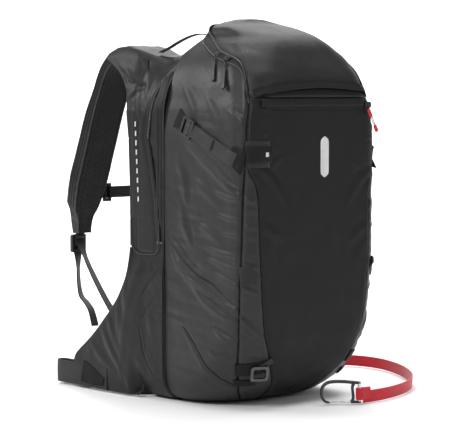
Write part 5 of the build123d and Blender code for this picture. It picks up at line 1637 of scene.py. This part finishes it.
    # belt webbing, round a loop at the end
    lp = run([(sg * 163.4, 196, 22), (sg * 163.2, 250, 22.5), (sg * 163.0, 300, 23), (sg * 162.6, 326, 23), (sg * 160.5, 337, 23), (sg * 152.6, 340, 23), (sg * 145.0, 337, 23), (sg * 143.6, 326, 23), (sg * 143.6, 300, 23), (sg * 144.0, 268, 22.5)])
    o = band("hip_belt_web_" + nm, lp, (0, 0, 1), 39.0, 2.0, WEB, step=2.5, crown=0.25, ripple=0.25)
    put(o, "hip_wing_" + nm, "webbing_black", "hip_webbing_" + nm)
    for q, sm in enumerate(seams):
        c = resample(np.array([(0.0, a_, b_) for a_, b_ in sm]), 3.0)[0]
        pl_ = []
        for _, a_, b_ in c:
            i_ = np.argmin((P[:, :, 1] - a_) ** 2 + (P[:, :, 2] - b_) ** 2)
            pl_.append(P.reshape(-1, 3)[i_] + np.array([sg * 0.8, 0, 0]))
        pl_ = np.array(pl_)
        for _ in range(3):
            pl_[1:-1] = 0.25 * pl_[:-2] + 0.5 * pl_[1:-1] + 0.25 * pl_[2:]
        put(tube("hip_seam_%s_%d" % (nm, q), pl_, 1.05, TRIM, n=6, step=3.0), "pack", "base_fabric")
    # stitched wear patch over its sewn end
    cs_ = []
    for y in np.linspace(204, 262, 16):
        cs_.append((sg * (165.2 + 0.3 * math.sin(y / 7)), y, lerp(16, 30, (y - 204) / 58.0)))
    o = band("hip_patch_" + nm, cs_, (0, 0.35, 0.94), 38.0, 1.5, TRIM, step=2.5, crown=0.3, width_at=([0, 0.5, 1], [0.35, 0.8, 1.0]))
    put(o, "hip_wing_" + nm, "webbing_black")
    # line for a gathered zip flap at the front of the wing skin; nothing is built on it
    fl = run([(sg * 158.4, 48, 152), (sg * 158.8, 45, 138), (sg * 159.0, 40, 124), (sg * 158.0, 34, 108)])
    return P


wing(-1, "left")
wing(1, "right")
nd = NODES["hip_buckle"]
nd.data.materials.clear()
nd.data.materials.append(DARKM)
add_bevel(nd, 1.3, 3)


# ------------------------------------------------------------------ pads and inner parts
def puffed(name, node, voxel, smooth, mats, body, slot_name, shape=None, noise=0.5, sub=False):
    src = NODES[node]
    me = src.data.copy()
    o = bpy.data.objects.new(name, me)
    bpy.context.scene.collection.objects.link(o)
    m = o.modifiers.new("remesh", "REMESH")
    m.mode = "VOXEL"
    m.voxel_size = voxel * K
    m.use_smooth_shade = True
    m = o.modifiers.new("smooth", "SMOOTH")
    m.factor = 0.5
    m.iterations = smooth
    apply_mods(o)
    co = np.array([v.co for v in o.data.vertices], float) / K
    nr = np.array([v.normal for v in o.data.vertices], float)
    D = noise * vnoise(co[:, 0] / 24, co[:, 2] / 24, co[:, 1] / 24)
    if shape is not None:
        D = D + shape(co, nr)
    co = co + nr * D[:, None]
    o.data.vertices.foreach_set("co", (co * K).astype(np.float32).ravel())
    at = o.data.attributes.new("fab", "FLOAT_VECTOR", "POINT")
    u = np.zeros((len(co), 3), np.float32)
    ax = np.argmax(np.abs(nr), axis=1)
    u[:, 0] = np.where(ax == 0, co[:, 1], co[:, 0]) * K
    u[:, 1] = np.where(ax == 2, co[:, 1], co[:, 2]) * K
    at.data.foreach_set("vector", u.ravel())
    o.data.materials.clear()
    o.data.materials.append(mats)
    o.data.polygons.foreach_set("use_smooth", np.ones(len(o.data.polygons), bool))
    o.data.update()
    if sub:
        add_subsurf(o, 1)
    put(o, body, slot_name, node)
    return o


def foam_shape(co, nr):
    """Crowned blocks between the air channels."""
    x, z = co[:, 0], co[:, 2]
    back = nr[:, 1] > 0.5
    d = np.abs(x)
    chan = np.exp(-((d - 0) / 16.0) ** 2)
    rows = np.zeros(len(x))
    for zc in (270, 350, 430):
        rows += np.exp(-((z - zc) / 9.0) ** 2) * (d > 20)
    return np.where(back, 1.6 - 2.0 * chan - 1.6 * rows, 0.0)


puffed("back_foam_pad", "back_foam", 4.0, 8, MESH, "pack", "foam_cover", foam_shape, 0.4)
puffed("lumbar_cushion", "lumbar_pad", 3.5, 10, MESHG, "pack", "mesh_black", lambda co, nr: np.where(nr[:, 1] > 0.4, 2.6 * np.exp(-(co[:, 0] / 70) ** 2 - ((co[:, 2] - 128) / 48) ** 2) - 0.9 * np.exp(-((np.abs(co[:, 0]) - 42) / 3.0) ** 2), 0), 0.4)
puffed("stowed_airbag", "folded_airbag", 6.0, 6, AIRBAG, "pack", "airbag_fabric", lambda co, nr: 1.3 * np.sin(co[:, 2] / 3.6) - 1.5, 0.8)


# thin sewn panels inside the bag
def inner_panel(name, y, x0, z0, z1, mats, node, slot_name, thick=1.0, xf=None):
    zr = np.linspace(z0, z1, 90)
    xr = np.linspace(-1, 1, 70)
    hw = np.full(90, x0) if xf is None else xf(zr)
    X = xr[None, :] * hw[:, None]
    Z = np.repeat(zr[:, None], 70, axis=1)
    Y = y + 0.9 * vnoise(X / 34, Z / 40, 3.0) + 0.35 * vnoise(X / 11, Z / 13, 6.0)
    o = grid_piece(name, np.stack([X, Y, Z], axis=2), mats, np.stack([X, Z], axis=2))
    add_solid(o, thick, 0.0)
    put(o, "pack", slot_name, node)


def div_w(z):
    k = np.clip((45 - z) / 45.0, 0, 1)
    w = np.where(z < 45, 107 + 45 * np.sqrt(np.clip(1 - k ** 2, 0, 1)), 151.0)
    return np.minimum(w, HXF(z) - 4.0)


inner_panel("divider_cloth", 55.6, 0, 5, 560, LINING, "divider_panel", "lining", 1.0, div_w)
inner_panel("pocket_lining", -122.9, 131, 178, 482, LINING, "pocket_liner", "lining")

for nd_name, mt in {"frame_sheet": SHEETM, "frame_stays": ALU, "blower_housing": PLASTIC_G, "motor": SILVER, "impeller": PLASTIC_G, "outlet_duct": PLASTIC_G,
                    "check_valve_flap": PULLB, "intake_grille": PLASTIC, "battery_pack": BATT, "controller_box": PLASTIC_G, "power_button": REDP,
                    "sternum_strap_left": PLASTIC, "sternum_strap_right": PLASTIC}.items():
    nd = NODES[nd_name]
    nd.data.materials.clear()
    nd.data.materials.append(mt)
    if nd_name not in ("frame_sheet", "check_valve_flap", "impeller"):
        add_bevel(nd, 0.7, 2)
# sternum webbing over its plastic fittings
sl = run([(-88, 325.0, 331), (-74, 325.6, 331), (-62, 327.6, 331), (-52, 325.9, 331), (-30, 325.4, 331), (0, 325.3, 331), (9, 325.4, 331)])
put(band("sternum_web_left", sl, (0, 0, 1), 20.4, 1.5, WEB, step=2, crown=0.1, ripple=0.1), "sternum", "webbing_black")
sl = run([(44, 325.3, 331), (50, 325.4, 331), (54, 326.8, 331), (60, 328.0, 331), (63.5, 326.4, 331)])
put(band("sternum_web_right", sl, (0, 0, 1), 20.4, 1.5, WEB, step=1.5), "sternum", "webbing_black")
sl = run([(-52, 322.6, 331), (-30, 322.8, 331), (-8, 322.4, 331), (7, 322.6, 331)])
put(band("sternum_tail", sl, (0, 0, 1), 19.6, 1.3, WEB, step=2, crown=0.1, ripple=0.2), "sternum", "webbing_black")

# ------------------------------------------------------------------ carabiner on the leg strap
CPX, CPY = 57.0, -182.0
PD = np.array([-0.80, 0.60, 0.0])
PQ = np.array([0.60, 0.80, 0.0])


def cp(p, z, q=0.0):
    return np.array([CPX, CPY, 0.0]) + PD * p + PQ * q + np.array([0, 0, z])


frame_line = run([tuple(cp(p, z)) for p, z in [(-1, 35.6), (8, 36.0), (24, 38.0), (44, 38.6), (56, 36.0), (62.5, 28.0), (63.2, 18.0), (60.5, 9.0), (55.5, 4.6), (50.0, 4.2)]])
o = tube("carabiner_frame", frame_line, 3.7, DARKM, n=14, step=1.6, flat=0.74, wdir=tuple(PQ), radius_at=([0, 0.08, 0.5, 0.85, 1.0], [0.8, 1.0, 1.0, 0.9, 0.6]))
put(o, "carabiner", "metal_dark", "carabiner_body")
spine = run([tuple(cp(p, z)) for p, z in [(9.0, 36.4), (12.5, 30.0), (11.0, 20.0), (10.0, 11.0), (12.0, 5.0), (14.0, 4.2)]])
put(tube("carabiner_spine", spine, 3.4, DARKM, n=14, step=1.6, flat=0.8, wdir=tuple(PQ), radius_at=([0, 0.3, 0.7, 1.0], [1.15, 0.85, 0.9, 1.0])), "carabiner", "metal_dark")
barl = np.stack([cp(0, z) for z in np.linspace(4.2, 36.5, 14)])
put(tube("carabiner_bar", barl, 3.0, SILVER, n=12, step=2.0), "carabiner", "metal_silver")
foot = np.stack([cp(p, 4.2) for p in np.linspace(-2, 14, 8)])
put(tube("carabiner_foot", foot, 3.0, DARKM, n=12, step=2.0, flat=0.8, wdir=tuple(PQ)), "carabiner", "metal_dark")
gl = [cp(14.5, 4.3, 1.9), cp(30, 4.3, 1.7), cp(46, 4.3, 1.4), cp(48.8, 4.3, 0.8), cp(48.8, 4.3, -0.8), cp(46, 4.3, -1.4), cp(30, 4.3, -1.7), cp(14.5, 4.3, -1.9)]
o = tube("carabiner_gate_wire", run([tuple(p) for p in gl]), 1.15, SILVER, n=10, step=1.2)
put(o, "gate", "metal_silver", "carabiner_gate")
nd = NODES["leg_strap_fittings"]
# sewn loop round the bar, with bar tacks
t = np.linspace(-2.5, 2.5, 26)
lw = run([(80, -183.8, 17.4), (72, -184.6, 17.4), (64, -186.2, 17.4), (57, -187.2, 17.4), (51.4, -184.6, 17.4), (51.6, -179.2, 17.4), (57, -176.8, 17.4), (64, -179.6, 17.4), (72, -181.6, 17.4), (80, -182.4, 17.4)])
o = band("leg_loop_web", lw, (0, 0, 1), 19.6, 2.1, RED, step=1.6, crown=0.1)
put(o, "pack", "webbing_red", "leg_strap_fittings")
for k, x in enumerate((70.0, 74.5, 79.0)):
    p = np.array([(x, -186.2 + (x - 70) * 0.12, z) for z in np.linspace(8.6, 26.2, 8)])
    put(band("leg_bar_tack_%d" % k, p, (1, 0, 0), 1.7, 0.9, REDP, step=1.4), "pack", "webbing_red")
an = run([(153, 116.4, 18), (160, 116.8, 15.5), (166, 118.2, 13), (172, 121.2, 11.6), (178, 125.8, 11.2)])
put(band("leg_anchor_web", an, (0.0, 0, 1), 23.0, 2.4, RED, step=1.6, crown=0.1, width_at=([0, 0.5, 1], [1.25, 1.0, 0.86])), "pack", "webbing_red")
pt = run([(150.5, 117.6, 24), (156, 119.0, 20), (165, 119.0, 15)])
put(band("leg_anchor_patch", pt, (0, 0, 1), 26.0, 2.0, TRIM, step=2), "pack", "webbing_black")


# ------------------------------------------------------------------ floor, backdrop and light
def make_stage():
    me = bpy.data.meshes.new("floor")
    g = []
    xs = np.linspace(-6, 6, 3)
    prof = [(-5.0, 0.0), (1.5, 0.0), (3.9, 0.0), (4.5, 0.10), (4.95, 0.42), (5.2, 1.0), (5.3, 4.5)]
    # a sweep that rises far behind the object, square to the camera
    ax = Vector((0.7193, -0.6947, 0))
    fw = Vector((0.6947, 0.7193, 0))
    vs, fs = [], []
    for d, z in prof:
        for x in xs:
            p = ax * float(x) + fw * d
            vs.append((p.x, p.y, z - 0.0006))
    for r in range(len(prof) - 1):
        for c in range(2):
            a = r * 3 + c
            fs.append((a, a + 1, a + 4, a + 3))
    me.from_pydata(vs, [], fs)
    me.polygons.foreach_set("use_smooth", np.ones(len(fs), bool))
    m = new_mat("studio_white")
    g = NT(m)
    nz = g.noise(obj_coord(g), 3.0, 2.0)
    col = g.mix(nz, (0.86, 0.86, 0.865, 1), (0.89, 0.89, 0.893, 1))
    shade(g, col, 0.9, None, spec=0.1)
    me.materials.append(m)
    o = bpy.data.objects.new("floor", me)
    bpy.context.scene.collection.objects.link(o)
    add_subsurf(o, 2)


def area(name, loc, at, size, power, color=(1, 1, 1)):
    d = bpy.data.lights.new(name, "AREA")
    d.shape = "RECTANGLE"
    d.size, d.size_y = size
    d.energy = power
    d.color = color
    o = bpy.data.objects.new(name, d)
    o.location = loc
    o.rotation_mode = "QUATERNION"
    o.rotation_quaternion = (Vector(at) - Vector(loc)).to_track_quat("-Z", "Y")
    bpy.context.scene.collection.objects.link(o)


make_stage()
world = bpy.data.worlds.new("studio")
world.use_nodes = True
world.node_tree.nodes["Background"].inputs[0].default_value = (1.0, 1.0, 1.0, 1)
world.node_tree.nodes["Background"].inputs[1].default_value = 0.26
bpy.context.scene.world = world
area("key", (-2.5, -0.7, 2.2), (0, 0, 0.32), (0.9, 0.9), 50)
area("fill", (0.9, -2.8, 1.5), (0, 0, 0.3), (1.4, 1.4), 13)
area("rim", (-1.5, 1.9, 1.6), (0, 0.1, 0.35), (1.0, 0.8), 26)
area("backdrop", (2.0, 2.1, 3.3), (3.1, 3.2, 0.0), (3.0, 2.4), 190)
area("floor_wash", (0.6, 0.2, 3.4), (0.8, 0.3, 0.0), (3.0, 3.0), 92)
bpy.context.scene.view_settings.view_transform = "Standard"
bpy.context.scene.view_settings.look = "None"
